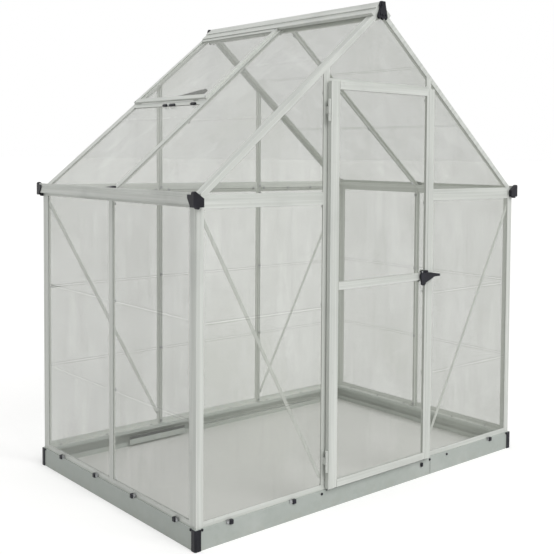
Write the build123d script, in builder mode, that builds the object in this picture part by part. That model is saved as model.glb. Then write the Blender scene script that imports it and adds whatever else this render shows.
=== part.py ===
from build123d import *
from math import atan2, cos, degrees, hypot, sin, tan
import os

# Walk-in greenhouse of clear plastic sheets in an aluminium frame, on a folded steel base.
# The door is in the front gable wall, at -Y. X runs along that wall, Z is up, and the origin
# lies on the ground under the middle of the base. All sizes are in millimetres.

# Main sizes
base_width = 1822.0
base_depth = 1282.0
base_height = 80.0
frame_setback = 10.0
eave_height = 1276.0
roof_rise = 778.0

# Steel base
base_cap_proud = 4.0
base_sheet = 1.5
base_ledge = 44.0
base_ledge_drop = 12.0
base_foot = 24.0
base_upstand = 22.0
base_joint_x = 330.0
base_cap_leg = 26.0
base_cap_radius = 8.0
seam_gap = 0.6
peg_radius = 10.5
peg_tab = 12.0
peg_proud = 8.0
peg_rise = 4.0
peg_corner = 153.0
peg_side_corner = 138.0
peg_side_pitch = 314.0
peg_jamb = 456.0
foot_peg_x = 274.0
foot_peg_z = 56.0

# Aluminium bars
skin = 1.5
sheet_slot = 2.0
bar_width = 30.0
post_front_leg = 31.0
post_side_leg = 46.0
rafter_front_leg = 21.0
rafter_roof_leg = 40.0
slot_depth = 12.0
channel_width = 12.0
channel_depth = 11.0
channel_lip = 2.6
sill_height = 22.0
sill_foot = 26.0
rail_face = 37.0
rail_band = 15.0
rail_groove = 1.0
rail_drop = 40.0
fit = 0.3

# Gutter
gutter_proud = 20.0
gutter_inner = 17.0
gutter_drop = 24.0
gutter_trough = 14.0
gutter_rise = 18.0
gutter_skin = 2.4
gutter_edge = 12.0
gutter_groove = 3.0
gutter_skirt = 12.0

# Door frame in the front wall
stud_pitch = 594.0
rear_stud_pitch = 608.0
lintel_drop = 16.0

# Clear sheets
sheet = 0.8
sheet_overhang = 8.0
sheet_seams = (0.365, 0.676)
roof_seams = (0.40, 0.72)
joiner_height = 14.0
joiner_skin = 0.7
joiner_play = 0.2
sheet_play = 1.5
row_gap = 2.0
gable_tip = 10.0

# Ridge
ridge_lift = 18.0
ridge_crown = 27.0
ridge_step = 4.0
ridge_skin = 1.5
ridge_reach = 62.0
ridge_stem = 16.0
ridge_drop = 50.0
ridge_clear = 1.0

# Corner caps at the eaves
cap_front = 17.0
cap_side = 4.0
cap_width = 45.0
cap_rise = 6.0
cap_drop = 9.0
cap_round = 8.0
cap_peak = 10.0
cap_slope_end = 26.0
cap_lobe = 7.0
cap_lobe_x = 20.0
cap_side_reach = 25.0
cap_side_slant = 17.0
cap_side_edge = 12.0

# Connectors where the middle rafters meet the gutters
hood_thick = 8.0
hood_rise = 3.0

# Ridge caps
ridge_cap_wrap = 3.0
ridge_cap_flap = 20.0
ridge_cap_top = 26.0
ridge_cap_neck = 34.0
ridge_cap_foot = 52.0
ridge_cap_height = 80.0
ridge_cap_shoulder = 22.0
ridge_cap_point = 9.0

# Braces
brace_width = 14.0
brace_thick = 2.0
brace_corner = 10.0
brace_foot_rise = 50.0
brace_gap = 8.0

# Roof vent
vent_start = 608.0
vent_lift = 0.3
vent_rail = 26.0
vent_thick = 10.0
vent_side_rail = 18.0
vent_groove_lift = 4.0
vent_groove = 8.0
vent_edge = 4.0
vent_ridge_gap = 2.0
vent_arm_thick = 12.0
vent_arm_left = 300.0
vent_arm_right = 104.0
vent_arm_stem = 22.0
vent_arm_low = 8.0
vent_arm_waist = 44.0
vent_arm_high = 84.0
trimmer_start = 575.0

# Door
door_gap = 5.0
door_thick = 20.0
door_left = -293.0
door_right = 309.0
door_head = 13.0
stile_face = 32.0
stile_flange = 14.0
flange_setback = 4.0
rail_height = 31.0
rail_flange = 9.0
door_slot = 2.0
hinge_inset = 115.0
hinge_length = 88.0
knuckle_radius = 6.0
pin_radius = 2.5
pin_play = 0.06
hinge_leaf = 2.0
hinge_web = 3.0
hinge_axis_gap = 6.0
handle_x = 256.0
spindle_radius = 4.0
spindle_play = 0.06
lock_plate_thick = 4.0
lock_plate_width = 46.0
lock_plate_height = 52.0
lock_plate_round = 8.0
lever_thick = 9.0
lever_left = 32.0
lever_top = 16.0
lever_reach = 89.0
lever_shoulder = 27.0
lever_tip = 10.0
lever_lobe = 12.0
lever_lobe_x = 15.0
lever_lobe_drop = 27.0
lever_gap = 1.0
inner_grip_gap = 2.0
inner_grip_length = 56.0
inner_grip_radius = 8.0
inner_grip_thick = 7.0
inner_grip_turn = -120.0

# Places worked out from the sizes above
frame_x = base_width / 2 - frame_setback
frame_y = base_depth / 2 - frame_setback
base_x = base_width / 2 - base_cap_proud
base_y = base_depth / 2 - base_cap_proud
roof_angle = atan2(roof_rise, frame_x)
roof_length = hypot(roof_rise, frame_x)
ridge_z = eave_height + roof_rise
bar_depth = 2 * skin + sheet_slot
sheet_in = skin + (sheet_slot - sheet) / 2
eave_rail_z = eave_height - rail_drop
gutter_x = frame_x + gutter_proud
gutter_in_x = frame_x - gutter_inner
gutter_bottom = eave_height - gutter_drop
gutter_floor = gutter_bottom + gutter_trough
gutter_lip = eave_height + gutter_rise
jamb_out = stud_pitch / 2 + bar_width / 2
jamb_in = stud_pitch / 2 - bar_width / 2
door_back = -frame_y - door_gap
door_front = door_back - door_thick
door_bottom = base_height + door_gap
lintel_top = ridge_z - jamb_out * tan(roof_angle) - rafter_front_leg / cos(roof_angle) - lintel_drop
door_top = lintel_top - door_head
handle_z = (door_bottom + door_top) / 2
hinge_x = door_left - hinge_axis_gap
hinge_y = door_front + knuckle_radius
wall_bottom = base_height + skin + sheet_play
wall_top = gutter_floor - sheet_play
z_dir = Vector(0, 0, 1)
front_in = Vector(0, 1, 0)
rear_in = Vector(0, -1, 0)

os.makedirs("parts", exist_ok=True)


def save(builder, name):
    """Label a finished piece and write it to its own file."""
    builder.part.label = name
    export_step(builder.part, f"parts/{name}.step")


def patch(x0, y0, x1, y1, mode=Mode.ADD):
    """Add or cut a rectangle given by two opposite corners of the current sketch."""
    with Locations(((x0 + x1) / 2, (y0 + y1) / 2)):
        Rectangle(abs(x1 - x0), abs(y1 - y0), mode=mode)


def block(low, high, mode=Mode.ADD):
    """Add or cut a box given by its lowest and highest corners."""
    middle = [(a + b) / 2 for a, b in zip(low, high)]
    with Locations(Vector(*middle)):
        Box(*[b - a for a, b in zip(low, high)], mode=mode)


def upright(x, y, z, inward):
    """Plane for an upright bar: local X along the wall, local Y into the building."""
    return Plane(origin=(x, y, z), x_dir=inward.cross(z_dir), z_dir=z_dir)


def along(x, y, z, inward):
    """Plane across a level bar: local X into the building, local Y up."""
    return Plane(origin=(x, y, z), x_dir=inward, z_dir=inward.cross(z_dir))


def across_slope(side, y, inward):
    """Plane across a rafter at the eave: local X along the gable's depth, local Y down into the roof."""
    down = Vector(-side * sin(roof_angle), 0, -cos(roof_angle))
    return Plane(origin=(side * frame_x, y, eave_height), x_dir=inward, z_dir=inward.cross(down))


def on_slope(side, lift=0.0):
    """Plane on the roof's outer face: local X is side * Y, local Y runs up the slope from the eave."""
    normal = Vector(side * sin(roof_angle), 0, cos(roof_angle))
    foot = Vector(side * frame_x, 0, eave_height) + normal * lift
    return Plane(origin=foot, x_dir=(0, side, 0), z_dir=normal)


def roof_height(x, lift=0.0):
    """Height of the roof's outer face at x, moved outwards square to the slope by lift."""
    return ridge_z - abs(x) * tan(roof_angle) + lift / cos(roof_angle)


# Section of a glazing bar: an outer cap and an inner flange hold a sheet on each side,
# and a bolt channel stands on the inner flange. Local X across the bar, Y inwards.
with BuildSketch() as bar_section:
    patch(-bar_width / 2, 0, bar_width / 2, bar_depth)
    for side in (-1, 1):
        patch(side * (bar_width / 2 - slot_depth), skin, side * bar_width / 2, skin + sheet_slot, Mode.SUBTRACT)
    patch(-channel_width / 2, bar_depth, channel_width / 2, bar_depth + channel_depth)
    patch(-channel_width / 2 + skin, bar_depth, channel_width / 2 - skin, bar_depth + channel_depth - skin,
          Mode.SUBTRACT)
    patch(-channel_width / 2 + skin + channel_lip, bar_depth, channel_width / 2 - skin - channel_lip,
          bar_depth + channel_depth, Mode.SUBTRACT)


def corner_section(leg_x, leg_y):
    """Draw a corner bar: two legs at a right angle, each with a slot for a sheet at its end."""
    patch(0, 0, leg_x, bar_depth)
    patch(0, 0, bar_depth, leg_y)
    patch(leg_x - slot_depth, skin, leg_x, skin + sheet_slot, Mode.SUBTRACT)
    patch(skin, leg_y - slot_depth, skin + sheet_slot, leg_y, Mode.SUBTRACT)


# Section of a sill: a trough for the sheets, with a foot that lies on the base. X inwards, Y up.
with BuildSketch() as sill_section:
    patch(0, 0, bar_depth, sill_height)
    patch(skin, skin, skin + sheet_slot, sill_height, Mode.SUBTRACT)
    patch(bar_depth, 0, sill_foot, skin)


def rail_section(height):
    """Draw a level rail: a trough above and below a web, with a bolt channel behind."""
    patch(0, 0, bar_depth, height)
    patch(skin, 0, skin + sheet_slot, slot_depth, Mode.SUBTRACT)
    patch(skin, height - slot_depth, skin + sheet_slot, height, Mode.SUBTRACT)
    channel_low = (rail_face - channel_width) / 2
    patch(bar_depth, channel_low, bar_depth + channel_depth, channel_low + channel_width)
    patch(bar_depth, channel_low + skin, bar_depth + channel_depth - skin, channel_low + channel_width - skin,
          Mode.SUBTRACT)
    patch(bar_depth, channel_low + skin + channel_lip, bar_depth + channel_depth,
          channel_low + channel_width - skin - channel_lip, Mode.SUBTRACT)


# An eave rail has a plain face, a fine groove and a narrow band above it. The lintel is the face alone.
with BuildSketch() as eave_rail_section:
    rail_section(rail_face + rail_band)
    patch(0, rail_face, rail_groove / 2, rail_face + rail_groove, Mode.SUBTRACT)

with BuildSketch() as lintel_section:
    rail_section(rail_face)

# Section of the folded base sheet: face, top ledge with a drop, foot and upstand.
with BuildSketch() as base_section:
    patch(0, 0, base_sheet, base_height)
    patch(0, base_height - base_sheet, base_ledge, base_height)
    patch(base_ledge - base_sheet, base_height - base_ledge_drop, base_ledge, base_height)
    patch(0, 0, base_foot, base_sheet)
    patch(base_foot - base_sheet, 0, base_foot, base_upstand)

# Section of a gutter: fascia, trough floor, inner wall up to the roof sheets, and a slot
# under the floor for the wall sheets. X inwards from the fascia, Y is height above ground.
gutter_depth = gutter_proud + gutter_inner
with BuildSketch() as gutter_section:
    patch(0, gutter_bottom, gutter_skin, gutter_lip)
    groove_top = gutter_lip - gutter_edge
    patch(0, groove_top - gutter_groove, gutter_skin / 2, groove_top, Mode.SUBTRACT)
    patch(0, gutter_lip - skin, 2 * gutter_skin, gutter_lip)
    patch(0, gutter_floor, gutter_depth, gutter_floor + skin)
    patch(gutter_depth - skin, gutter_floor, gutter_depth, roof_height(gutter_in_x, -4 * skin))
    patch(gutter_proud, gutter_bottom, gutter_proud + skin, gutter_floor)
    patch(gutter_proud + skin + sheet_slot, gutter_bottom, gutter_proud + bar_depth, gutter_floor)

# The slot's two skins reach lower between the uprights.
with BuildSketch() as skirt_section:
    patch(0, -gutter_skirt, skin, skin)
    patch(skin + sheet_slot, -gutter_skirt, bar_depth, skin)


def base_side(name, inward, half_length, joint=None):
    """One side of the base: the folded sheet, mitred at both corners."""
    with BuildPart() as piece:
        offset = base_y if abs(inward.Y) > 0.5 else base_x
        start = inward * -offset
        with BuildSketch(along(start.X, start.Y, 0, inward)):
            add(base_section.sketch)
        extrude(amount=half_length, both=True)
        # Mitre: a trapezium that loses as much length as it gains depth.
        run = base_ledge + 10
        with BuildSketch(upright(start.X, start.Y, 0, inward)):
            with BuildLine():
                half = half_length - seam_gap / 2
                Polyline((-half, 0), (half, 0), (half - run, run), (-half + run, run), close=True)
            make_face()
        extrude(amount=base_height, mode=Mode.INTERSECT)
        if joint is not None:
            block((joint - seam_gap / 2, -base_y - 1, -1), (joint + seam_gap / 2, -base_y + base_ledge + 1,
                  base_height + 1), Mode.SUBTRACT)
    save(piece, name)


base_side("base_front", front_in, base_x, base_joint_x)
base_side("base_rear", rear_in, base_x)
base_side("base_left", Vector(1, 0, 0), base_y)
base_side("base_right", Vector(-1, 0, 0), base_y)

with BuildPart() as base_corner_caps:
    with BuildSketch():
        with GridLocations(2 * base_x + 2 * base_cap_proud - base_cap_leg,
                           2 * base_y + 2 * base_cap_proud - base_cap_leg, 2, 2):
            Rectangle(base_cap_leg, base_cap_leg)
    extrude(amount=base_height - seam_gap)
    corners = base_corner_caps.edges().filter_by(Axis.Z).filter_by(
        lambda e: abs(e.center().X) > base_x and abs(e.center().Y) > base_y)
    fillet(corners, base_cap_radius)
    block((-base_x, -base_y, -1), (base_x, base_y, base_height), Mode.SUBTRACT)
save(base_corner_caps, "base_corner_caps")


def peg(x, y, z, inward):
    """A round peg head on the base's face, with its middle at z."""
    face = Plane(origin=(x, y, z), x_dir=inward.cross(z_dir), z_dir=inward)
    with BuildSketch(face) as head:
        Circle(peg_radius)
    extrude(head.sketch, amount=-peg_proud)


# Pegs hook over the top edge of the base and hold the frame down. One more stands lower, by the door.
end_pegs = (peg_corner - base_x, -peg_jamb, peg_jamb, base_x - peg_corner)
front_pegs = (peg_corner - base_x, -peg_jamb, base_x - peg_corner)
side_pegs = [peg_side_corner - base_y + index * peg_side_pitch for index in range(4)]
peg_z = base_height + peg_rise - peg_radius
with BuildPart() as base_pegs:
    for inward, spots in (
        (front_in, [(x, -base_y) for x in front_pegs]),
        (rear_in, [(x, base_y) for x in end_pegs]),
        (Vector(1, 0, 0), [(-base_x, y) for y in side_pegs]),
        (Vector(-1, 0, 0), [(base_x, y) for y in side_pegs]),
    ):
        for x, y in spots:
            peg(x, y, peg_z, inward)
            with BuildSketch(along(x, y, base_height, inward)) as tab:
                patch(-peg_proud, 0, frame_setback - base_cap_proud - fit, peg_rise)
            extrude(tab.sketch, amount=peg_tab / 2, both=True)
    peg(foot_peg_x, -base_y, foot_peg_z, front_in)
save(base_pegs, "base_pegs")

# Uprights: corner posts, side studs, rear studs and door jambs
post_height = gutter_bottom - base_height


def corner_post(x_side, y_side):
    """One corner post, with its two legs pointing along the walls."""
    place = (x_side * frame_x, y_side * frame_y, base_height)
    if x_side == y_side:
        foot = Plane(origin=place, x_dir=(-x_side, 0, 0), z_dir=z_dir)
        legs = (post_front_leg, post_side_leg)
    else:
        foot = Plane(origin=place, x_dir=(0, -y_side, 0), z_dir=z_dir)
        legs = (post_side_leg, post_front_leg)
    with BuildSketch(foot) as profile:
        corner_section(*legs)
    extrude(profile.sketch, amount=post_height)


for name, y_side in (("front_corner_posts", -1), ("rear_corner_posts", 1)):
    with BuildPart() as posts:
        for x_side in (-1, 1):
            corner_post(x_side, y_side)
    save(posts, name)

with BuildPart() as side_studs:
    for side in (-1, 1):
        with BuildSketch(upright(side * frame_x, 0, base_height, Vector(-side, 0, 0))):
            add(bar_section.sketch)
        extrude(amount=post_height)
save(side_studs, "side_studs")


def under_rafters():
    """Trim the current part to what lies under the gable rafters."""
    under = rafter_front_leg + fit
    with BuildSketch(Plane.XZ) as room:
        with BuildLine():
            Polyline((-frame_x, 0), (frame_x, 0), (frame_x, roof_height(frame_x, -under)),
                     (0, roof_height(0, -under)), (-frame_x, roof_height(frame_x, -under)), close=True)
        make_face()
    extrude(room.sketch, amount=base_depth, both=True, mode=Mode.INTERSECT)


with BuildPart() as rear_studs:
    for side in (-1, 1):
        with BuildSketch(upright(side * rear_stud_pitch / 2, frame_y, base_height, rear_in)):
            add(bar_section.sketch)
        extrude(amount=ridge_z)
    under_rafters()
save(rear_studs, "rear_studs")

for name, side in (("door_jamb_left", -1), ("door_jamb_right", 1)):
    with BuildPart() as jamb:
        with BuildSketch(upright(side * stud_pitch / 2, -frame_y, base_height, front_in)):
            add(bar_section.sketch)
        extrude(amount=ridge_z)
        under_rafters()
    save(jamb, name)

# Level bars. A bay is the span between two uprights, given by where their caps end.
side_bays = ((bar_width / 2, frame_y - post_side_leg), (-frame_y + post_side_leg, -bar_width / 2))
front_bays = ((-frame_x + post_front_leg, -jamb_out), (jamb_out, frame_x - post_front_leg))
rear_stud_in = (rear_stud_pitch - bar_width) / 2
rear_stud_out = (rear_stud_pitch + bar_width) / 2
rear_bays = ((-frame_x + post_front_leg, -rear_stud_out), (-rear_stud_in, rear_stud_in),
             (rear_stud_out, frame_x - post_front_leg))
walls = {
    "left": (Vector(1, 0, 0), side_bays),
    "right": (Vector(-1, 0, 0), side_bays),
    "front": (front_in, front_bays),
    "rear": (rear_in, rear_bays),
}


def level_bar(wall, bay, z, section):
    """One level bar between two uprights, standing fit clear of each."""
    inward, _ = walls[wall]
    middle = (bay[0] + bay[1]) / 2
    if abs(inward.Y) > 0.5:
        place = (middle, -inward.Y * frame_y, z)
    else:
        place = (-inward.X * frame_x, middle, z)
    with BuildSketch(along(*place, inward)) as profile:
        add(section)
    extrude(profile.sketch, amount=(bay[1] - bay[0]) / 2 - fit, both=True)


with BuildPart() as front_sills:
    for bay in front_bays:
        level_bar("front", bay, base_height, sill_section.sketch)
save(front_sills, "front_sills")

with BuildPart() as rear_sill:
    for bay in rear_bays:
        level_bar("rear", bay, base_height, sill_section.sketch)
save(rear_sill, "rear_sill")

with BuildPart() as side_sills:
    for wall in ("left", "right"):
        for bay in side_bays:
            level_bar(wall, bay, base_height, sill_section.sketch)
save(side_sills, "side_sills")

with BuildPart() as front_eave_rails:
    for bay in front_bays:
        level_bar("front", bay, eave_rail_z, eave_rail_section.sketch)
    under_rafters()
save(front_eave_rails, "front_eave_rails")

with BuildPart() as rear_eave_rail:
    for bay in rear_bays:
        level_bar("rear", bay, eave_rail_z, eave_rail_section.sketch)
    under_rafters()
save(rear_eave_rail, "rear_eave_rail")

with BuildPart() as door_lintel:
    level_bar("front", (-jamb_in, jamb_in), lintel_top - rail_face, lintel_section.sketch)
save(door_lintel, "door_lintel")

# Gutters and ridge
for wall, side in (("left", -1), ("right", 1)):
    with BuildPart() as gutter:
        with BuildSketch(along(side * gutter_x, 0, 0, Vector(-side, 0, 0))) as profile:
            add(gutter_section.sketch)
        extrude(profile.sketch, amount=frame_y, both=True)
        for bay in side_bays:
            level_bar(wall, bay, gutter_bottom, skirt_section.sketch)
    save(gutter, f"gutter_{wall}")


def slope_point(side, run, lift):
    """Point in the XZ plane, run down the slope from the ridge and lift above the roof's outer face."""
    x = run * cos(roof_angle) + lift * sin(roof_angle)
    z = ridge_z - run * sin(roof_angle) + lift * cos(roof_angle)
    return side * x, z


with BuildPart() as ridge_beam:
    with BuildSketch(Plane.XZ):
        for side in (-1, 1):
            with BuildLine():
                flange = ridge_lift - ridge_step
                Polyline((0, roof_height(0, ridge_lift)), slope_point(side, ridge_crown, ridge_lift),
                         slope_point(side, ridge_crown, flange), slope_point(side, ridge_reach, flange),
                         slope_point(side, ridge_reach, ridge_clear),
                         slope_point(side, ridge_reach - ridge_skin, ridge_clear),
                         slope_point(side, ridge_reach - ridge_skin, flange - ridge_skin),
                         (0, roof_height(0, flange - ridge_skin)), close=True)
            make_face()
        patch(-ridge_stem / 2, roof_height(ridge_stem / 2, ridge_lift - ridge_step), ridge_stem / 2,
              ridge_z - ridge_drop)
        patch(-ridge_stem / 2 + skin, ridge_z, ridge_stem / 2 - skin, ridge_z - ridge_drop + skin,
              Mode.SUBTRACT)
    extrude(amount=frame_y, both=True)
save(ridge_beam, "ridge_beam")


def between_ridge_and_gutters():
    """Trim rafters to the room between the ridge stem and the gutters' inner walls."""
    low = gutter_in_x - fit
    high = ridge_stem / 2 + fit
    with BuildSketch(Plane.XZ) as room:
        with Locations(((low + high) / 2, ridge_z), (-(low + high) / 2, ridge_z)):
            Rectangle(low - high, 2 * ridge_z)
    extrude(room.sketch, amount=base_depth, both=True, mode=Mode.INTERSECT)


for name, y_side in (("front_gable_rafters", -1), ("rear_gable_rafters", 1)):
    with BuildPart() as rafters:
        for side in (-1, 1):
            with BuildSketch(across_slope(side, y_side * frame_y, Vector(0, -y_side, 0))) as profile:
                corner_section(rafter_roof_leg, rafter_front_leg)
            extrude(profile.sketch, amount=roof_length, both=True)
        between_ridge_and_gutters()
    save(rafters, name)

with BuildPart() as mid_rafters:
    for side in (-1, 1):
        with BuildSketch(across_slope(side, 0, front_in)):
            add(bar_section.sketch)
        extrude(amount=roof_length, both=True)
    between_ridge_and_gutters()
save(mid_rafters, "mid_rafters")

# Black corner caps at the eaves: a front plate with a round lobe and a side plate wrap each corner.
cap_out_x = gutter_x + cap_side
cap_top = gutter_lip + cap_rise
cap_bottom = gutter_bottom - cap_drop
with BuildPart() as eave_caps:
    for x_side in (-1, 1):
        outer = x_side * cap_out_x
        inner = x_side * (cap_out_x - cap_width)
        for y_side in (-1, 1):
            # The front plate is rounded outside, cut square to the rafter inside, and has a lobe below.
            with BuildSketch(Plane.XZ.offset(-y_side * (frame_y + fit))) as front_plate:
                with BuildLine():
                    Polyline((outer, cap_bottom), (outer, cap_top), (outer - x_side * cap_peak, cap_top),
                             (inner, cap_top - cap_slope_end), (inner, cap_bottom), close=True)
                make_face()
                fillet([v for v in vertices() if v.Y > cap_top - fit and x_side * v.X > cap_out_x - fit], cap_round)
                with Locations((outer - x_side * cap_lobe_x, cap_bottom)):
                    Circle(cap_lobe)
            extrude(front_plate.sketch, amount=-y_side * (cap_front - fit))
            with BuildSketch(Plane.YZ.offset(x_side * (gutter_x + fit))) as side_plate:
                near = y_side * (frame_y + cap_front)
                far = y_side * (frame_y - cap_side_reach)
                low = y_side * (frame_y - cap_side_reach + cap_side_slant)
                with BuildLine():
                    shelf = cap_top - cap_side_edge
                    Polyline((near, cap_bottom), (near, shelf), (far, shelf), (far, shelf - cap_side_edge),
                             (low, cap_bottom + cap_rise), (low, cap_bottom), close=True)
                make_face()
            extrude(side_plate.sketch, amount=x_side * (cap_side - fit))
save(eave_caps, "eave_caps")

# Black connectors where the middle rafters meet the gutters: a hood over the sheets' lower edge
# and an apron down to the gutter's floor
hood_in = gutter_in_x + fit
hood_out = gutter_x - 2 * gutter_skin - fit
apron_in = frame_x + sheet_overhang * cos(roof_angle) + sheet_play
with BuildPart() as eave_connectors:
    for side in (-1, 1):
        with BuildSketch(Plane.XZ) as hood:
            with BuildLine():
                Polyline((side * hood_in, roof_height(hood_in)), (side * apron_in, roof_height(apron_in)),
                         (side * apron_in, gutter_floor + skin), (side * hood_out, gutter_floor + skin),
                         (side * hood_out, gutter_lip), (side * apron_in, gutter_lip + hood_rise),
                         (side * hood_in, roof_height(hood_in, hood_thick)), close=True)
            make_face()
        extrude(hood.sketch, amount=bar_width / 2, both=True)
save(eave_connectors, "eave_connectors")

# Ridge caps: an upright plate with three points below, and a flap back over the ridge
cap_lift = ridge_lift + fit + ridge_cap_wrap
ridge_top = roof_height(0, cap_lift)
with BuildPart() as ridge_caps:
    for y_side in (-1, 1):
        half_top = ridge_cap_top / 2
        half_neck = ridge_cap_neck / 2
        half_foot = ridge_cap_foot / 2
        foot = ridge_top - ridge_cap_height
        points = [(half_top, ridge_top), (half_neck, ridge_top - ridge_cap_shoulder),
                  (half_foot, foot + ridge_cap_point), (half_foot * 0.8, foot),
                  (half_foot * 0.4, foot + ridge_cap_point), (0, foot)]
        mirrored = [(-x, z) for x, z in reversed(points[:-1])]
        with BuildSketch(Plane.XZ.offset(-y_side * (frame_y + fit))) as plate:
            with BuildLine():
                Polyline(*points, *mirrored, close=True)
            make_face()
        extrude(plate.sketch, amount=-y_side * (cap_front - fit))
        with BuildSketch(Plane.XZ.offset(-y_side * (frame_y + fit))) as flap:
            with BuildLine():
                Polyline((0, ridge_top), slope_point(1, ridge_crown, cap_lift),
                         slope_point(1, ridge_crown, ridge_lift + fit),
                         (0, roof_height(0, ridge_lift + fit)),
                         slope_point(-1, ridge_crown, ridge_lift + fit),
                         slope_point(-1, ridge_crown, cap_lift), close=True)
            make_face()
        extrude(flap.sketch, amount=y_side * ridge_cap_flap)
        extrude(flap.sketch, amount=-y_side * (cap_front - fit) / 2)
save(ridge_caps, "ridge_caps")

# Flat braces across the front and rear corners bays, on the inner faces of the bars
brace_in = bar_depth + fit
for name, y_side, foot_x in (("front_braces", -1, stud_pitch / 2), ("rear_braces", 1, rear_stud_pitch / 2)):
    with BuildPart() as braces:
        for side in (-1, 1):
            start = Vector(side * (frame_x - bar_depth - brace_corner), eave_rail_z - brace_corner)
            end = Vector(side * (foot_x + channel_width / 2 + brace_gap), base_height + brace_foot_rise)
            run = end - start
            length = run.length
            middle = (start + end) / 2
            angle = degrees(atan2(run.Y, run.X))
            with BuildSketch(Plane.XZ.offset(-y_side * (frame_y - brace_in))):
                with Locations(Location((middle.X, middle.Y), angle)):
                    SlotOverall(length, brace_width)
            extrude(amount=y_side * brace_thick)
    save(braces, name)


# Clear sheets and the joiner strips between their rows
reach = slot_depth - sheet_play


def rows(low, high, seams, gap):
    """Split a height into rows: the low and high edge of each sheet between seams counted from the top."""
    cuts = [low] + [high - (high - low) * part for part in reversed(seams)] + [high]
    spans = []
    for index in range(len(cuts) - 1):
        bottom = cuts[index] + (gap / 2 if index else 0)
        top = cuts[index + 1] - (gap / 2 if index < len(cuts) - 2 else 0)
        spans.append((bottom, top))
    return spans


def wall_sheets(wall, low, high, seams):
    """All sheets of one upright wall between two heights."""
    inward, bays = walls[wall]
    for bay in bays:
        left = bay[0] - reach
        right = bay[1] + reach
        for bottom, top in rows(low, high, seams, row_gap):
            if abs(inward.Y) > 0.5:
                near = -inward.Y * (frame_y - sheet_in)
                far = -inward.Y * (frame_y - sheet_in - sheet)
                block((left, min(near, far), bottom), (right, max(near, far), top))
            else:
                near = -inward.X * (frame_x - sheet_in)
                far = -inward.X * (frame_x - sheet_in - sheet)
                block((min(near, far), left, bottom), (max(near, far), right, top))


eave_sheet_top = eave_rail_z + slot_depth - sheet_play
side_rows = (wall_bottom, wall_top)
end_rows = (wall_bottom, eave_sheet_top)
for wall in ("left", "right"):
    with BuildPart() as sheets:
        wall_sheets(wall, *side_rows, sheet_seams)
    save(sheets, f"{wall}_wall_sheets")
with BuildPart() as front_wall_sheets:
    wall_sheets("front", *end_rows, sheet_seams)
save(front_wall_sheets, "front_wall_sheets")
with BuildPart() as rear_wall_sheets:
    wall_sheets("rear", *end_rows, sheet_seams)
save(rear_wall_sheets, "rear_wall_sheets")


gable_low = eave_rail_z + rail_face + rail_band - slot_depth + sheet_play


def gable_sheets(y_side, inner, outer, middle_low):
    """Sheets of one gable: a triangle each side and a peak between the middle uprights."""
    edge = rafter_front_leg - reach
    with BuildSketch(Plane.XZ.offset(-y_side * (frame_y - sheet_in))) as outline:
        for side in (-1, 1):
            start = outer - reach
            end = gutter_in_x - gable_tip
            with BuildLine():
                Polyline((side * start, gable_low), (side * end, gable_low), (side * end, roof_height(end, -edge)),
                         (side * start, roof_height(start, -edge)), close=True)
            make_face()
        half = inner + reach
        peak_z = ridge_z - ridge_drop - sheet_play
        peak = (roof_height(0, -edge) - peak_z) / tan(roof_angle)
        with BuildLine():
            Polyline((-half, middle_low), (half, middle_low), (half, roof_height(half, -edge)), (peak, peak_z),
                     (-peak, peak_z), (-half, roof_height(half, -edge)), close=True)
        make_face()
    extrude(outline.sketch, amount=y_side * sheet)


with BuildPart() as front_gable_sheets:
    gable_sheets(-1, jamb_in, jamb_out, lintel_top - slot_depth + sheet_play)
save(front_gable_sheets, "front_gable_sheets")
with BuildPart() as rear_gable_sheets:
    gable_sheets(1, rear_stud_in, rear_stud_out, gable_low)
save(rear_gable_sheets, "rear_gable_sheets")

# Roof bays: slope side, front or rear half, upper edge of the sheets, and seams as shares from the top
sheet_top = roof_length - (ridge_stem / 2 + sheet_play) / cos(roof_angle) - bar_depth
full_seams = [1 - part for part in reversed(roof_seams)]
short_seams = [1 - roof_seams[0] * roof_length / trimmer_start]
roof_bays = (
    (-1, -1, sheet_top, full_seams),
    (-1, 1, trimmer_start + slot_depth - sheet_play, short_seams),
    (1, -1, sheet_top, full_seams),
    (1, 1, sheet_top, full_seams),
)
roof_bay_in = bar_width / 2
roof_bay_out = frame_y - rafter_roof_leg

for name, roof_side in (("left_roof_sheets", -1), ("right_roof_sheets", 1)):
    with BuildPart() as sheets:
        for side, half, top, seams in roof_bays:
            if side == roof_side:
                way = side * half
                ends = sorted((way * (roof_bay_in - reach), way * (roof_bay_out + reach)))
                for bottom, high in rows(-sheet_overhang, top, seams, row_gap):
                    with BuildSketch(on_slope(side, -sheet_in - sheet)) as pane:
                        patch(ends[0], bottom, ends[1], high)
                    extrude(pane.sketch, amount=sheet)
    save(sheets, name)

# Roof vent over the rear bay of the left slope: a fixed trimmer and the vent's own frame and sheet
with BuildPart() as vent_trimmer:
    inner = bar_width / 2 + fit
    outer = roof_bay_out - fit
    with BuildSketch(on_slope(-1, -bar_depth)):
        patch(-outer, trimmer_start, -inner, trimmer_start + bar_width)
    extrude(amount=bar_depth)
    with BuildSketch(on_slope(-1, -skin - sheet_slot)):
        patch(-outer, trimmer_start, -inner, trimmer_start + slot_depth)
    extrude(amount=sheet_slot, mode=Mode.SUBTRACT)
save(vent_trimmer, "vent_trimmer")

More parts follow.
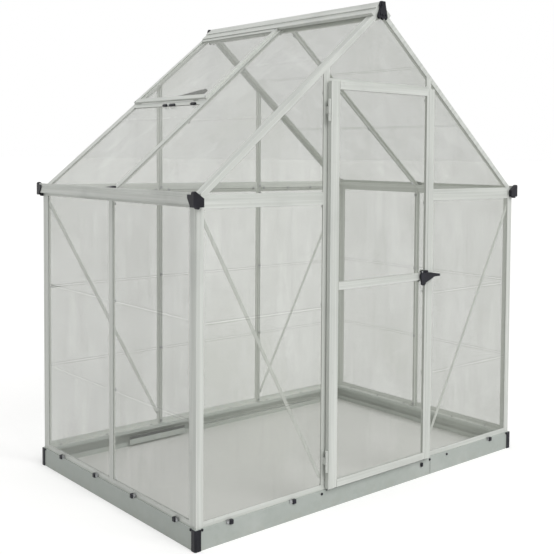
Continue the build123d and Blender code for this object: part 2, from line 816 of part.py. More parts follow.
vent_end = roof_length - ridge_reach - vent_ridge_gap
vent_inner = vent_edge
vent_outer = frame_y - vent_edge
with BuildPart() as vent_frame:
    with BuildSketch(on_slope(-1, vent_lift)):
        patch(-vent_outer, vent_start, -vent_inner, vent_start + vent_rail)
        patch(-vent_outer, vent_end - vent_side_rail, -vent_inner, vent_end)
        patch(-vent_outer, vent_start + vent_rail + fit, -vent_outer + vent_side_rail,
              vent_end - vent_side_rail - fit)
        patch(-vent_inner - vent_side_rail, vent_start + vent_rail + fit, -vent_inner,
              vent_end - vent_side_rail - fit)
    extrude(amount=vent_thick)
    with BuildSketch(on_slope(-1, vent_lift + vent_groove_lift)):
        patch(-vent_outer + vent_side_rail - vent_groove, vent_start + vent_rail - vent_groove,
              -vent_inner - vent_side_rail + vent_groove, vent_end - vent_side_rail + vent_groove)
    extrude(amount=sheet_slot, mode=Mode.SUBTRACT)
save(vent_frame, "vent_frame")

vent_reach = vent_groove - 1
with BuildPart() as vent_sheet:
    with BuildSketch(on_slope(-1, vent_lift + vent_groove_lift + (sheet_slot - sheet) / 2)):
        patch(-vent_outer + vent_side_rail - vent_reach, vent_start + vent_rail - vent_reach,
              -vent_inner - vent_side_rail + vent_reach, vent_end - vent_side_rail + vent_reach)
    extrude(amount=sheet)
save(vent_sheet, "vent_sheet")

# The vent's arm: a stem by the trimmer that widens into a long pointed lever under the vent
with BuildPart() as vent_arm:
    with BuildSketch(on_slope(-1, -vent_arm_thick)):
        stem_left = -vent_arm_right - vent_arm_stem
        with BuildLine():
            Polyline((-vent_arm_left, vent_start + (vent_arm_waist + vent_arm_low) * 3 / 4),
                     (stem_left, vent_start + vent_arm_waist + vent_arm_low), (stem_left, vent_start + vent_arm_low),
                     (-vent_arm_right, vent_start + vent_arm_low), (-vent_arm_right, vent_start + vent_arm_high),
                     (stem_left - vent_arm_waist, vent_start + vent_arm_high * 5 / 6), close=True)
        make_face()
    extrude(amount=vent_arm_thick)
save(vent_arm, "vent_arm")

# Joiner strips: an H section that holds the edges of two sheets, one above the other
joiner_half = joiner_skin + joiner_play + sheet / 2


def joiner_face():
    """The joiner's section about the middle of the sheets, X across the sheet and Y along the rows."""
    patch(-joiner_half, -joiner_height / 2, joiner_half, joiner_height / 2)
    slot = sheet / 2 + joiner_play
    rib = row_gap / 2 - joiner_play
    patch(-slot, rib, slot, joiner_height / 2, Mode.SUBTRACT)
    patch(-slot, -joiner_height / 2, slot, -rib, Mode.SUBTRACT)


with BuildPart() as sheet_joiners:
    for wall, (low, high) in (("left", side_rows), ("right", side_rows), ("front", end_rows), ("rear", end_rows)):
        inward, bays = walls[wall]
        for bay in bays:
            middle = (bay[0] + bay[1]) / 2
            for part in sheet_seams:
                z = high - (high - low) * part
                deep = sheet_in + sheet / 2
                if abs(inward.Y) > 0.5:
                    place = (middle, -inward.Y * (frame_y - deep), z)
                else:
                    place = (-inward.X * (frame_x - deep), middle, z)
                with BuildSketch(along(*place, inward)) as strip:
                    joiner_face()
                extrude(strip.sketch, amount=(bay[1] - bay[0]) / 2 - fit, both=True)
    for side, half, top, seams in roof_bays:
        face = on_slope(side, -sheet_in - sheet / 2)
        up = Vector(-side * cos(roof_angle), 0, sin(roof_angle))
        for part in seams:
            place = face.origin + up * (top - (top + sheet_overhang) * part)
            middle = Vector(place.X, half * (roof_bay_in + roof_bay_out) / 2, place.Z)
            with BuildSketch(Plane(origin=middle, x_dir=face.z_dir, z_dir=face.z_dir.cross(up))) as strip:
                joiner_face()
            extrude(strip.sketch, amount=(roof_bay_out - roof_bay_in) / 2 - fit, both=True)
save(sheet_joiners, "sheet_joiners")

# Door: two stiles, three rails and two sheets
door_sheet_y = door_front + flange_setback
with BuildPart() as door_stiles:
    for x, way in ((door_left, 1), (door_right, -1)):
        edges = sorted((x, x + way * stile_face))
        block((edges[0], door_front, door_bottom), (edges[1], door_back, door_top))
        edges = sorted((x + way * skin, x + way * (stile_face - skin)))
        block((edges[0], door_front + skin, door_bottom - 1), (edges[1], door_back - skin, door_top + 1),
              Mode.SUBTRACT)
        edges = sorted((x + way * stile_face, x + way * (stile_face + stile_flange)))
        block((edges[0], door_sheet_y - skin - door_slot / 2, door_bottom),
              (edges[1], door_sheet_y + skin + door_slot / 2, door_top))
        block((edges[0], door_sheet_y - door_slot / 2, door_bottom - 1),
              (edges[1], door_sheet_y + door_slot / 2, door_top + 1), Mode.SUBTRACT)
save(door_stiles, "door_stiles")

rail_left = door_left + stile_face + stile_flange + fit
rail_right = door_right - stile_face - stile_flange - fit
rail_lows = (door_bottom, handle_z - rail_height / 2, door_top - rail_height)
with BuildPart() as door_rails:
    for low in rail_lows:
        block((rail_left, door_front, low), (rail_right, door_back, low + rail_height))
        block((rail_left - 1, door_front + skin, low + rail_flange + skin),
              (rail_right + 1, door_back - skin, low + rail_height - rail_flange - skin), Mode.SUBTRACT)
    for low in rail_lows[1:]:
        block((rail_left - 1, door_sheet_y - door_slot / 2, low - 1),
              (rail_right + 1, door_sheet_y + door_slot / 2, low + rail_flange), Mode.SUBTRACT)
    for low in rail_lows[:2]:
        block((rail_left - 1, door_sheet_y - door_slot / 2, low + rail_height - rail_flange),
              (rail_right + 1, door_sheet_y + door_slot / 2, low + rail_height + 1), Mode.SUBTRACT)
    with Locations(Location((handle_x, (door_front + door_back) / 2, handle_z), (90, 0, 0))):
        Cylinder(spindle_radius + spindle_play, door_thick + 2, mode=Mode.SUBTRACT)
save(door_rails, "door_rails")

door_sheet_left = door_left + stile_face + sheet_play
door_sheet_right = door_right - stile_face - sheet_play
with BuildPart() as door_sheets:
    for low, high in ((rail_lows[0], rail_lows[1]), (rail_lows[1], rail_lows[2])):
        block((door_sheet_left, door_sheet_y - sheet / 2, low + rail_height - rail_flange + sheet_play),
              (door_sheet_right, door_sheet_y + sheet / 2, high + rail_flange - sheet_play))
save(door_sheets, "door_sheets")

# Hinges: each has three knuckles. The middle one and the pin belong to the jamb.
hinge_zs = (door_bottom + hinge_inset, door_top - hinge_inset)
knuckle = hinge_length / 3
with BuildPart() as jamb_hinges:
    for z in hinge_zs:
        with Locations((hinge_x, hinge_y, z)):
            Cylinder(knuckle_radius, knuckle - 2 * fit)
            Cylinder(pin_radius, hinge_length)
        block((hinge_x - hinge_web, hinge_y, z - knuckle / 2 + fit),
              (hinge_x + hinge_web, -frame_y - hinge_leaf, z + knuckle / 2 - fit))
        block((-jamb_out + skin, -frame_y - hinge_leaf, z - hinge_length / 2),
              (hinge_x + hinge_web, -frame_y, z + hinge_length / 2))
save(jamb_hinges, "jamb_hinges")

with BuildPart() as door_hinges:
    for z in hinge_zs:
        for end in (-1, 1):
            with Locations((hinge_x, hinge_y, z + end * knuckle)):
                Cylinder(knuckle_radius, knuckle - 2 * fit)
                Cylinder(pin_radius + pin_play, knuckle + 1, mode=Mode.SUBTRACT)
            low = z + end * knuckle - knuckle / 2 + fit
            block((hinge_x + pin_radius + skin, hinge_y - hinge_leaf, low),
                  (door_left, hinge_y + hinge_leaf, low + knuckle - 2 * fit))
save(door_hinges, "door_hinges")

# Latch: a fixed plate on the door, and a lever that turns on a spindle through the middle rail
with BuildPart() as latch_plate:
    with BuildSketch(Plane.XZ.offset(-door_front)):
        with Locations((handle_x, handle_z)):
            RectangleRounded(lock_plate_width, lock_plate_height, lock_plate_round)
            Circle(spindle_radius + spindle_play, mode=Mode.SUBTRACT)
    extrude(amount=lock_plate_thick)
save(latch_plate, "latch_plate")

lever_back = door_front - lock_plate_thick - lever_gap


def at_spindle(y):
    """Plane square to the spindle at y, seen from the front: local X to the right, local Y up."""
    return Plane(origin=(handle_x, y, handle_z), x_dir=(1, 0, 0), z_dir=(0, -1, 0))


with BuildPart() as latch_lever:
    with BuildSketch(at_spindle(lever_back)):
        with BuildLine():
            right = lever_lobe - lever_lobe_x
            left = -lever_lobe - lever_lobe_x
            Polyline((-lever_left, lever_top), (lever_shoulder, lever_top), (lever_reach, lever_tip * 0.6),
                     (lever_reach, -lever_tip * 0.4), (lever_shoulder * 2, -lever_tip * 0.4),
                     (lever_shoulder, -lever_top), (right, -lever_lobe_drop), (left, -lever_lobe_drop),
                     (-lever_left, 0), close=True)
        make_face()
        with Locations((-lever_lobe_x, -lever_lobe_drop)):
            Circle(lever_lobe)
    extrude(amount=lever_thick)
    with BuildSketch(at_spindle(lever_back)):
        Circle(spindle_radius)
    extrude(amount=-(door_thick + lock_plate_thick + lever_gap + inner_grip_gap + 1))
    with BuildSketch(at_spindle(door_back + inner_grip_gap)):
        SlotOverall(inner_grip_length, 2 * inner_grip_radius, rotation=inner_grip_turn)
    extrude(amount=-inner_grip_thick)
save(latch_lever, "latch_lever")
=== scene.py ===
"""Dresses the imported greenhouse: finishes, caps, fasteners, studio floor, light and camera."""

import logging
import math
from dataclasses import dataclass, field
from enum import Enum

import bmesh
import bpy
from mathutils import Matrix, Vector


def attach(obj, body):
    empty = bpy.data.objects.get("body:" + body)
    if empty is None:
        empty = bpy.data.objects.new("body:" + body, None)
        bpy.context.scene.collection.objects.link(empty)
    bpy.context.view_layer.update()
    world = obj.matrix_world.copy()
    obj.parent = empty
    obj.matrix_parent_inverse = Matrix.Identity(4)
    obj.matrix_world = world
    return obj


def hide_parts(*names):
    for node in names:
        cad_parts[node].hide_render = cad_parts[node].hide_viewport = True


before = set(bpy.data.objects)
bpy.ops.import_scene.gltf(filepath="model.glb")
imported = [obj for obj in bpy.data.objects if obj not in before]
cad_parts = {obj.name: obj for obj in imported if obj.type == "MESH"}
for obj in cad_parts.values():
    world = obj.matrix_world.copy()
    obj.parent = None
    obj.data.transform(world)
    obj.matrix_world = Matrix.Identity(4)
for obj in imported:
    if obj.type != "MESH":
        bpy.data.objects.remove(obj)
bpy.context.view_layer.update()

log = logging.getLogger("greenhouse")

PHOTO_SIDE = 554
EAST, BACK, UP = Vector((1, 0, 0)), Vector((0, 1, 0)), Vector((0, 0, 1))
SIDES = (-1, 1)
WHITE = (1, 1, 1, 1)


class Wire:
    """A node socket that carries a number, with Python's own arithmetic on it."""

    def __init__(self, graph: "Graph", socket: bpy.types.NodeSocket) -> None:
        """Keeps the graph and the socket."""
        self.graph = graph
        self.socket = socket

    def _math(self, operation: str, left: object, right: object = None) -> "Wire":
        """Adds one Math node.

        Args:
            operation: The Math node's operation.
            left: First value, a Wire or a number.
            right: Second value, if the operation takes one.

        Returns:
            The node's result.
        """
        values = [v for v in (left, right) if v is not None]
        return self.graph.wire("ShaderNodeMath", {"operation": operation}, dict(enumerate(values)))

    def __add__(self, other: object) -> "Wire":
        """Sum."""
        return self._math("ADD", self, other)

    def __radd__(self, other: object) -> "Wire":
        """Sum with a number on the left."""
        return self._math("ADD", other, self)

    def __sub__(self, other: object) -> "Wire":
        """Difference."""
        return self._math("SUBTRACT", self, other)

    def __rsub__(self, other: object) -> "Wire":
        """Difference from a number."""
        return self._math("SUBTRACT", other, self)

    def __mul__(self, other: object) -> "Wire":
        """Product."""
        return self._math("MULTIPLY", self, other)

    def __rmul__(self, other: object) -> "Wire":
        """Product with a number on the left."""
        return self._math("MULTIPLY", other, self)

    def __truediv__(self, other: object) -> "Wire":
        """Quotient."""
        return self._math("DIVIDE", self, other)

    def __abs__(self) -> "Wire":
        """Size without its sign."""
        return self._math("ABSOLUTE", self)

    def clamp(self, low: float = 0.0, high: float = 1.0) -> "Wire":
        """The value held between two numbers."""
        return self._math("MINIMUM", self._math("MAXIMUM", self, low), high)

    def step(self, start: float, end: float) -> "Wire":
        """A smooth step.

        Args:
            start: Where it leaves 0.
            end: Where it reaches 1.

        Returns:
            0 below start, 1 above end, and a smooth rise between them.
        """
        settings = {"interpolation_type": "SMOOTHSTEP"}
        values = {"Value": self, "From Min": start, "From Max": end}
        return self.graph.wire("ShaderNodeMapRange", settings, values)


class Graph:
    """A material's, world's or geometry's node tree, with one method that adds any node."""

    NOISE_ROUGHNESS = 0.55
    BEVEL_SAMPLES = 4
    EDGE_RANGE = (0.01, 0.22)

    def __init__(self, tree: bpy.types.NodeTree) -> None:
        """Empties the tree."""
        self.tree = tree
        tree.nodes.clear()

    def node(self, kind: str, settings: dict | None = None,
             values: dict | None = None) -> bpy.types.Node:
        """Adds a node.

        Args:
            kind: The node's type name.
            settings: Attributes that are set before anything else.
            values: Socket name or number to a Wire, a socket, a list of sockets or a constant.

        Returns:
            The new node.
        """
        made = self.tree.nodes.new(kind)
        for name, setting in (settings or {}).items():
            setattr(made, name, setting)
        for name, value in (values or {}).items():
            target = made.inputs[name]
            for part in value if isinstance(value, list) else [value]:
                if isinstance(part, Wire):
                    self.tree.links.new(part.socket, target)
                elif isinstance(part, bpy.types.NodeSocket):
                    self.tree.links.new(part, target)
                else:
                    target.default_value = part
        return made

    def wire(self, kind: str, settings: dict | None = None, values: dict | None = None,
             out: object = 0) -> Wire:
        """Adds a node and wraps one of its outputs.

        Args:
            kind: The node's type name.
            settings: Attributes that are set first.
            values: Socket values or links.
            out: The output's name or number.

        Returns:
            That output as a Wire.
        """
        return Wire(self, self.node(kind, settings, values).outputs[out])

    def mix(self, factor: object, first: object, second: object) -> bpy.types.NodeSocket:
        """Mixes two colours.

        Args:
            factor: 0 for the first, 1 for the second.
            first: Colour or socket.
            second: Colour or socket.

        Returns:
            The mixed colour's socket.
        """
        node = self.node("ShaderNodeMix", {"data_type": "RGBA"}, {0: factor, 6: first, 7: second})
        return node.outputs[2]

    def place(self, scale: tuple = (1, 1, 1), turn: tuple = (0, 0, 0)) -> bpy.types.NodeSocket:
        """Object coordinates, stretched and turned.

        Args:
            scale: Scale on each axis.
            turn: Turn about each axis, in radians.

        Returns:
            The vector's socket.
        """
        coordinates = self.node("ShaderNodeTexCoord")
        values = {"Vector": coordinates.outputs["Object"], "Scale": scale, "Rotation": turn}
        return self.node("ShaderNodeMapping", None, values).outputs[0]

    def split(self, vector: bpy.types.NodeSocket) -> list[Wire]:
        """The three numbers of a vector."""
        node = self.node("ShaderNodeSeparateXYZ", None, {0: vector})
        return [Wire(self, out) for out in node.outputs]

    def noise(self, where: bpy.types.NodeSocket, scale: float, detail: float) -> Wire:
        """Fractal noise between 0 and 1.

        Args:
            where: The vector it is read at.
            scale: Features per metre.
            detail: Octaves.

        Returns:
            The noise value.
        """
        values = {"Vector": where, "Scale": scale, "Detail": detail,
                  "Roughness": self.NOISE_ROUGHNESS}
        return self.wire("ShaderNodeTexNoise", None, values)

    def rounded(self, radius: float) -> bpy.types.NodeSocket:
        """The normal of the surface with its edges rounded by a radius in metres."""
        settings = {"samples": self.BEVEL_SAMPLES}
        return self.node("ShaderNodeBevel", settings, {"Radius": radius}).outputs[0]

    def edges(self, radius: float) -> Wire:
        """Where a sharp edge is near, for wear and shine along edges.

        Args:
            radius: How far from the edge it reaches, in metres.

        Returns:
            0 on flats, towards 1 on edges.
        """
        flat = self.node("ShaderNodeNewGeometry").outputs["Normal"]
        values = {0: self.rounded(radius), 1: flat}
        alike = self.wire("ShaderNodeVectorMath", {"operation": "DOT_PRODUCT"}, values, "Value")
        return (1.0 - alike).step(*self.EDGE_RANGE)

    def bump(self, height: Wire, strength: float, distance: float,
             round_edge: float = 0.0) -> bpy.types.NodeSocket:
        """A bumped normal.

        Args:
            height: The height, 0 to 1.
            strength: How much of it shows.
            distance: The height of 1, in metres.
            round_edge: Radius in metres by which edges look rounded, or 0.

        Returns:
            The normal's socket.
        """
        values = {"Height": height, "Strength": strength, "Distance": distance}
        if round_edge:
            values["Normal"] = self.rounded(round_edge)
        return self.node("ShaderNodeBump", None, values).outputs[0]


def new_material(name: str) -> tuple[bpy.types.Material, Graph]:
    """Starts a node material.

    Args:
        name: Its name.

    Returns:
        The material and its empty graph.
    """
    material = bpy.data.materials.new(name)
    material.use_nodes = True
    return material, Graph(material.node_tree)


def shade(graph: Graph, values: dict) -> None:
    """Ends a graph in one Principled shader with these socket values or links."""
    shader = graph.node("ShaderNodeBsdfPrincipled", None, values)
    graph.node("ShaderNodeOutputMaterial", None, {"Surface": shader.outputs[0]})


def seen_ray(graph: Graph) -> Wire:
    """Tells the rays that show things from the rays that light them.

    Args:
        graph: The graph it is added to.

    Returns:
        1 for camera, glossy and transmission rays, and 0 for the rays that light things.
    """
    path = graph.node("ShaderNodeLightPath")
    kinds = ("Is Camera Ray", "Is Glossy Ray", "Is Transmission Ray")
    camera, glossy, through = (Wire(graph, path.outputs[kind]) for kind in kinds)
    return (camera + glossy + through).clamp()


class Run(Enum):
    """The way a bar was drawn through its die, which its fine lines follow."""

    ACROSS = "x"
    BACK = "y"
    UP = "z"
    SLOPE = "slope"


class Slot(Enum):
    """The record's material slots."""

    ALUMINIUM = "aluminium"
    STEEL = "galvanised_steel"
    SHEET = "clear_sheet"
    JOINER = "clear_joiner"
    PLASTIC = "black_plastic"


BUILT: dict["Finish", bpy.types.Material] = {}


@dataclass(frozen=True)
class Finish:
    """What every finish has: a name, and the record's slot it belongs to.

    The patterns of the finishes are pairs: features per metre and octaves.
    """

    name: str
    slot: Slot

    def material(self) -> bpy.types.Material:
        """The finish's material, built once.

        Returns:
            The material.
        """
        if self not in BUILT:
            BUILT[self] = self.build()
        return BUILT[self]

    def build(self) -> bpy.types.Material:
        """Builds the material."""
        raise NotImplementedError


@dataclass(frozen=True)
class DrawnAluminium(Finish):
    """Mill aluminium: silvery, with fine drawing lines along the bar and a dull bloom."""

    run: Run = Run.UP
    slope: float = 0.0
    tone: tuple = (0.57, 0.59, 0.555, 1.0)
    bright: tuple = (0.68, 0.70, 0.665, 1.0)
    bloom: tuple = (0.46, 0.475, 0.45, 1.0)
    edge: tuple = (0.80, 0.81, 0.79, 1.0)
    along: float = 1.5
    across: float = 90.0
    fine: tuple = (6.0, 3.0)
    coarse: tuple = (1.0, 2.0)
    clouds: tuple = (3.2, 4.0)
    scuffs: tuple = (38.0, 4.0)
    wear_width: float = 0.0016
    line_height: float = 0.0006
    soft_edge: float = 0.0006

    def build(self) -> bpy.types.Material:
        """Builds the brushed metal along its run.

        Returns:
            The material.
        """
        material, graph = new_material(self.name)
        stretch = {
            Run.ACROSS: (self.along, self.across, self.across),
            Run.BACK: (self.across, self.along, self.across),
            Run.UP: (self.across, self.across, self.along),
            Run.SLOPE: (self.along, self.across, self.across),
        }[self.run]
        turned = graph.place((1, 1, 1), (0, self.slope, 0))
        stretched = graph.node("ShaderNodeVectorMath", {"operation": "MULTIPLY"},
                               {0: turned, 1: stretch})
        lines = stretched.outputs[0]
        fine = graph.noise(lines, *self.fine)
        coarse = graph.noise(lines, *self.coarse)
        cloud = graph.noise(graph.place(), *self.clouds)
        scuff = graph.noise(graph.place(), *self.scuffs)
        wear = graph.edges(self.wear_width)
        body = graph.mix(coarse.step(0.35, 0.72), self.tone, self.bright)
        body = graph.mix(cloud.step(0.50, 0.78) * 0.55, body, self.bloom)
        body = graph.mix(scuff.step(0.62, 0.74) * 0.30, body, self.bloom)
        body = graph.mix(wear * 0.55, body, self.edge)
        shade(graph, {
            "Base Color": body,
            "Metallic": (0.24 - 0.12 * cloud).clamp(),
            "Roughness": (0.34 + 0.16 * fine + 0.12 * cloud - 0.10 * wear).clamp(0.2, 0.8),
            "Normal": graph.bump(fine, 0.10, self.line_height, self.soft_edge),
        })
        return material


@dataclass(frozen=True)
class Galvanised(Finish):
    """Zinc-coated steel sheet: greenish grey, with faint crystals and a dusting of white."""

    tone: tuple = (0.39, 0.425, 0.395, 1.0)
    pale: tuple = (0.46, 0.49, 0.465, 1.0)
    dust: tuple = (0.53, 0.555, 0.53, 1.0)
    edge: tuple = (0.66, 0.69, 0.67, 1.0)
    soil: tuple = (0.40, 0.41, 0.36, 1.0)
    crystals: float = 55.0
    clouds: tuple = (4.0, 4.0)
    grains: tuple = (420.0, 2.0)
    splashes: tuple = (22.0, 4.0)
    splash_height: float = 0.05
    wear_width: float = 0.002
    grain_height: float = 0.0005
    soft_edge: float = 0.0012

    def build(self) -> bpy.types.Material:
        """Builds the spangled zinc, with splashes of soil low down.

        Returns:
            The material.
        """
        material, graph = new_material(self.name)
        where = graph.place()
        values = {"Vector": where, "Scale": self.crystals, "Randomness": 1.0}
        cells = graph.node("ShaderNodeTexVoronoi", {"feature": "F1"}, values)
        spangle = graph.wire("ShaderNodeSeparateColor", None, {0: cells.outputs["Color"]})
        cloud = graph.noise(where, *self.clouds)
        grain = graph.noise(where, *self.grains)
        low = 1.0 - (graph.split(where)[2] / self.splash_height).clamp()
        splash = low * graph.noise(where, *self.splashes).step(0.42, 0.62)
        wear = graph.edges(self.wear_width)
        body = graph.mix(spangle * 0.55, self.tone, self.pale)
        body = graph.mix(cloud.step(0.50, 0.80) * 0.5, body, self.dust)
        body = graph.mix(splash * 0.35, body, self.soil)
        body = graph.mix(wear * 0.6, body, self.edge)
        relief = grain * 0.5 + spangle * 0.5
        shade(graph, {
            "Base Color": body,
            "Metallic": (0.16 + 0.12 * spangle).clamp(),
            "Roughness": (0.40 + 0.14 * spangle + 0.12 * cloud).clamp(0.25, 0.85),
            "Normal": graph.bump(relief, 0.12, self.grain_height, self.soft_edge),
        })
        return material


@dataclass(frozen=True)
class ClearSheet(Finish):
    """Thin clear polycarbonate: a slight green-grey cast, faint waves, streaks and dust."""

    tone: tuple = (0.325, 0.345, 0.295, 1.0)
    dust: tuple = (0.43, 0.45, 0.39, 1.0)
    cover: float = 0.195
    smooth: float = 0.06
    hazes: tuple = (2.4, 4.0)
    waves: tuple = (7.0, 2.0)
    wave_stretch: tuple = (1.0, 1.0, 0.35)
    wave_height: float = 0.004
    streaks: tuple = (3.0, 3.0)
    streak_stretch: tuple = (14.0, 14.0, 0.8)
    smears: tuple = (1.7, 3.0)
    smear_stretch: tuple = (3.0, 3.0, 0.9)
    specks: tuple = (260.0, 2.0)

    def build(self) -> bpy.types.Material:
        """Builds the sheet: an even dull cover that lets most light through, and a gloss over it.

        Returns:
            The material.
        """
        material, graph = new_material(self.name)
        where = graph.place()
        haze = graph.noise(where, *self.hazes)
        wave = graph.noise(graph.place(self.wave_stretch), *self.waves)
        streak = graph.noise(graph.place(self.streak_stretch), *self.streaks)
        speck = graph.noise(where, *self.specks).step(0.70, 0.80)
        smear = graph.noise(graph.place(self.smear_stretch), *self.smears).step(0.50, 0.66)
        cover = (self.cover * (1.0 - 0.16 * smear) + 0.30 * self.cover * haze.step(0.42, 0.75)
                 + 0.10 * self.cover * streak.step(0.5, 0.8) + 0.25 * self.cover * speck)
        normal = graph.bump(wave, 0.25, self.wave_height)
        sheet = graph.node("ShaderNodeBsdfPrincipled", None, {
            "Base Color": graph.mix(haze.step(0.45, 0.80), self.tone, self.dust),
            "Roughness": 0.6,
            "Specular IOR Level": 0.0,
            "Alpha": cover.clamp(0.0, 1.0),
            "Normal": normal,
        })
        gloss = graph.node("ShaderNodeBsdfAnisotropic", None, {
            "Color": WHITE,
            "Roughness": (self.smooth + 0.12 * haze + 0.08 * streak).clamp(0.03, 0.6),
            "Normal": normal,
        })
        facing = graph.wire("ShaderNodeLayerWeight", None, {"Blend": 0.5}, "Facing")
        sheen = 0.012 + 0.25 * facing * facing * facing * facing
        both = graph.node("ShaderNodeMixShader", None,
                          {0: sheen, 1: sheet.outputs[0], 2: gloss.outputs[0]})
        graph.node("ShaderNodeOutputMaterial", None, {"Surface": both.outputs[0]})
        return material


@dataclass(frozen=True)
class MouldedPlastic(Finish):
    """Near-black moulded plastic: slightly blue, fine spark-eroded grain, paler worn edges."""

    tone: tuple = (0.006, 0.006, 0.010, 1.0)
    pale: tuple = (0.018, 0.018, 0.026, 1.0)
    worn: tuple = (0.075, 0.076, 0.092, 1.0)
    clouds: tuple = (16.0, 3.0)
    grains: tuple = (900.0, 2.0)
    wear_width: float = 0.0022
    grain_height: float = 0.0004
    soft_edge: float = 0.0016
    shine: float = 0.28

    def build(self) -> bpy.types.Material:
        """Builds the grained plastic.

        Returns:
            The material.
        """
        material, graph = new_material(self.name)
        where = graph.place()
        cloud = graph.noise(where, *self.clouds)
        grain = graph.noise(where, *self.grains)
        body = graph.mix(cloud.step(0.4, 0.75), self.tone, self.pale)
        body = graph.mix(graph.edges(self.wear_width) * 0.5, body, self.worn)
        shade(graph, {
            "Base Color": body,
            "Roughness": (0.30 + 0.18 * cloud + 0.10 * grain).clamp(0.2, 0.8),
            "Specular IOR Level": self.shine,
            "Normal": graph.bump(grain, 0.16, self.grain_height, self.soft_edge),
        })
        return material


@dataclass(frozen=True)
class PlatedBolt(Finish):
    """Zinc-plated fasteners: a cool bright grey that has dulled in its hollows."""

    tone: tuple = (0.46, 0.47, 0.48, 1.0)
    dull: tuple = (0.22, 0.22, 0.22, 1.0)
    edge: tuple = (0.66, 0.67, 0.68, 1.0)
    clouds: tuple = (90.0, 3.0)
    grains: tuple = (1400.0, 2.0)
    wear_width: float = 0.0008
    grain_height: float = 0.0002

    def build(self) -> bpy.types.Material:
        """Builds the plated metal.

        Returns:
            The material.
        """
        material, graph = new_material(self.name)
        where = graph.place()
        cloud = graph.noise(where, *self.clouds)
        grain = graph.noise(where, *self.grains)
        body = graph.mix(cloud.step(0.40, 0.65), self.tone, self.dull)
        body = graph.mix(graph.edges(self.wear_width) * 0.6, body, self.edge)
        shade(graph, {
            "Base Color": body,
            "Metallic": (0.55 + 0.3 * cloud).clamp(),
            "Roughness": (0.28 + 0.22 * cloud).clamp(0.2, 0.7),
            "Normal": graph.bump(grain, 0.2, self.grain_height),
        })
        return material


@dataclass(frozen=True)
class StudioWhite:
    """The floor: white to the camera where it is lit, and a darker grey inside the base, a painted
    shadow of the sheets, which cast none.
    """

    # The footprint of the painted shadow, and how soft its edge is.
    half_x: float = 0.900
    half_y: float = 0.630
    blur: float = 0.01
    tone: tuple = (0.63, 0.63, 0.62, 1.0)
    mottle: tuple = (0.61, 0.61, 0.60, 1.0)
    mottles: tuple = (6.0, 3.0)
    # Painted shadow: the floor inside the base's footprint is a darker grey, standing in for the
    # shade of the sheets, which cast no shadow.
    inside: tuple = (0.715, 0.715, 0.69, 1.0)
    lift: float = 0.44

    def build(self) -> bpy.types.Material:
        """Builds the floor with its lift for camera, glossy and transmission rays.

        Returns:
            The material.
        """
        material, graph = new_material("studio_white")
        where = graph.place()
        x, y, _ = graph.split(where)
        out_x = abs(x).step(self.half_x - self.blur, self.half_x + self.blur)
        out_y = abs(y).step(self.half_y - self.blur, self.half_y + self.blur)
        outside = (out_x + out_y).clamp()
        body = graph.mix(graph.noise(where, *self.mottles) * 0.25, self.tone, self.mottle)
        # Painted shadow: inside the footprint the floor takes the darker grey.
        body = graph.mix(outside, self.inside, body)
        base = graph.node("ShaderNodeBsdfPrincipled", None, {"Base Color": body, "Roughness": 0.9})
        # The lift stays off inside the footprint, which keeps the painted shadow there.
        strength = seen_ray(graph) * outside * self.lift
        glow = graph.node("ShaderNodeEmission", None, {"Color": WHITE, "Strength": strength})
        both = graph.node("ShaderNodeAddShader", None, {0: base.outputs[0], 1: glow.outputs[0]})
        graph.node("ShaderNodeOutputMaterial", None, {"Surface": both.outputs[0]})
        return material


ROOF_RISE, ROOF_RUN = 0.778, 0.901
ROOF_SLOPE = math.atan2(ROOF_RISE, ROOF_RUN)
METAL_ACROSS = DrawnAluminium("aluminium_x", Slot.ALUMINIUM, Run.ACROSS)
METAL_BACK = DrawnAluminium("aluminium_y", Slot.ALUMINIUM, Run.BACK)
METAL_UP = DrawnAluminium("aluminium_z", Slot.ALUMINIUM, Run.UP)
METAL_SLOPE = DrawnAluminium("aluminium_slope", Slot.ALUMINIUM, Run.SLOPE, ROOF_SLOPE)
ZINC = Galvanised("galvanised_steel", Slot.STEEL)
PLATED = PlatedBolt("plated_bolt", Slot.STEEL)
GLAZING = ClearSheet("clear_sheet", Slot.SHEET)
STRIP = ClearSheet("clear_joiner", Slot.JOINER, cover=0.035)
PLASTIC = MouldedPlastic("black_plastic", Slot.PLASTIC)


class Shape(Enum):
    """The kinds of fastener and button that repeat."""

    NUT = "nut"
    SCREW = "screw"
    RIVET = "rivet"
    BUTTON = "button"


@dataclass(frozen=True)
class Fastener:
    """Sizes of one kind: sides, head radius low and high, head height and washer radius."""

    sides: int
    low: float
    high: float
    height: float
    washer: float
    finish: Finish


FASTENERS = {
    Shape.NUT: Fastener(6, 0.0060, 0.0056, 0.0050, 0.0078, PLATED),
    Shape.SCREW: Fastener(16, 0.0045, 0.0032, 0.0026, 0.0056, PLATED),
    Shape.RIVET: Fastener(14, 0.0034, 0.0020, 0.0014, 0.0040, PLATED),
    Shape.BUTTON: Fastener(18, 0.0046, 0.0034, 0.0026, 0.0056, PLASTIC),
}


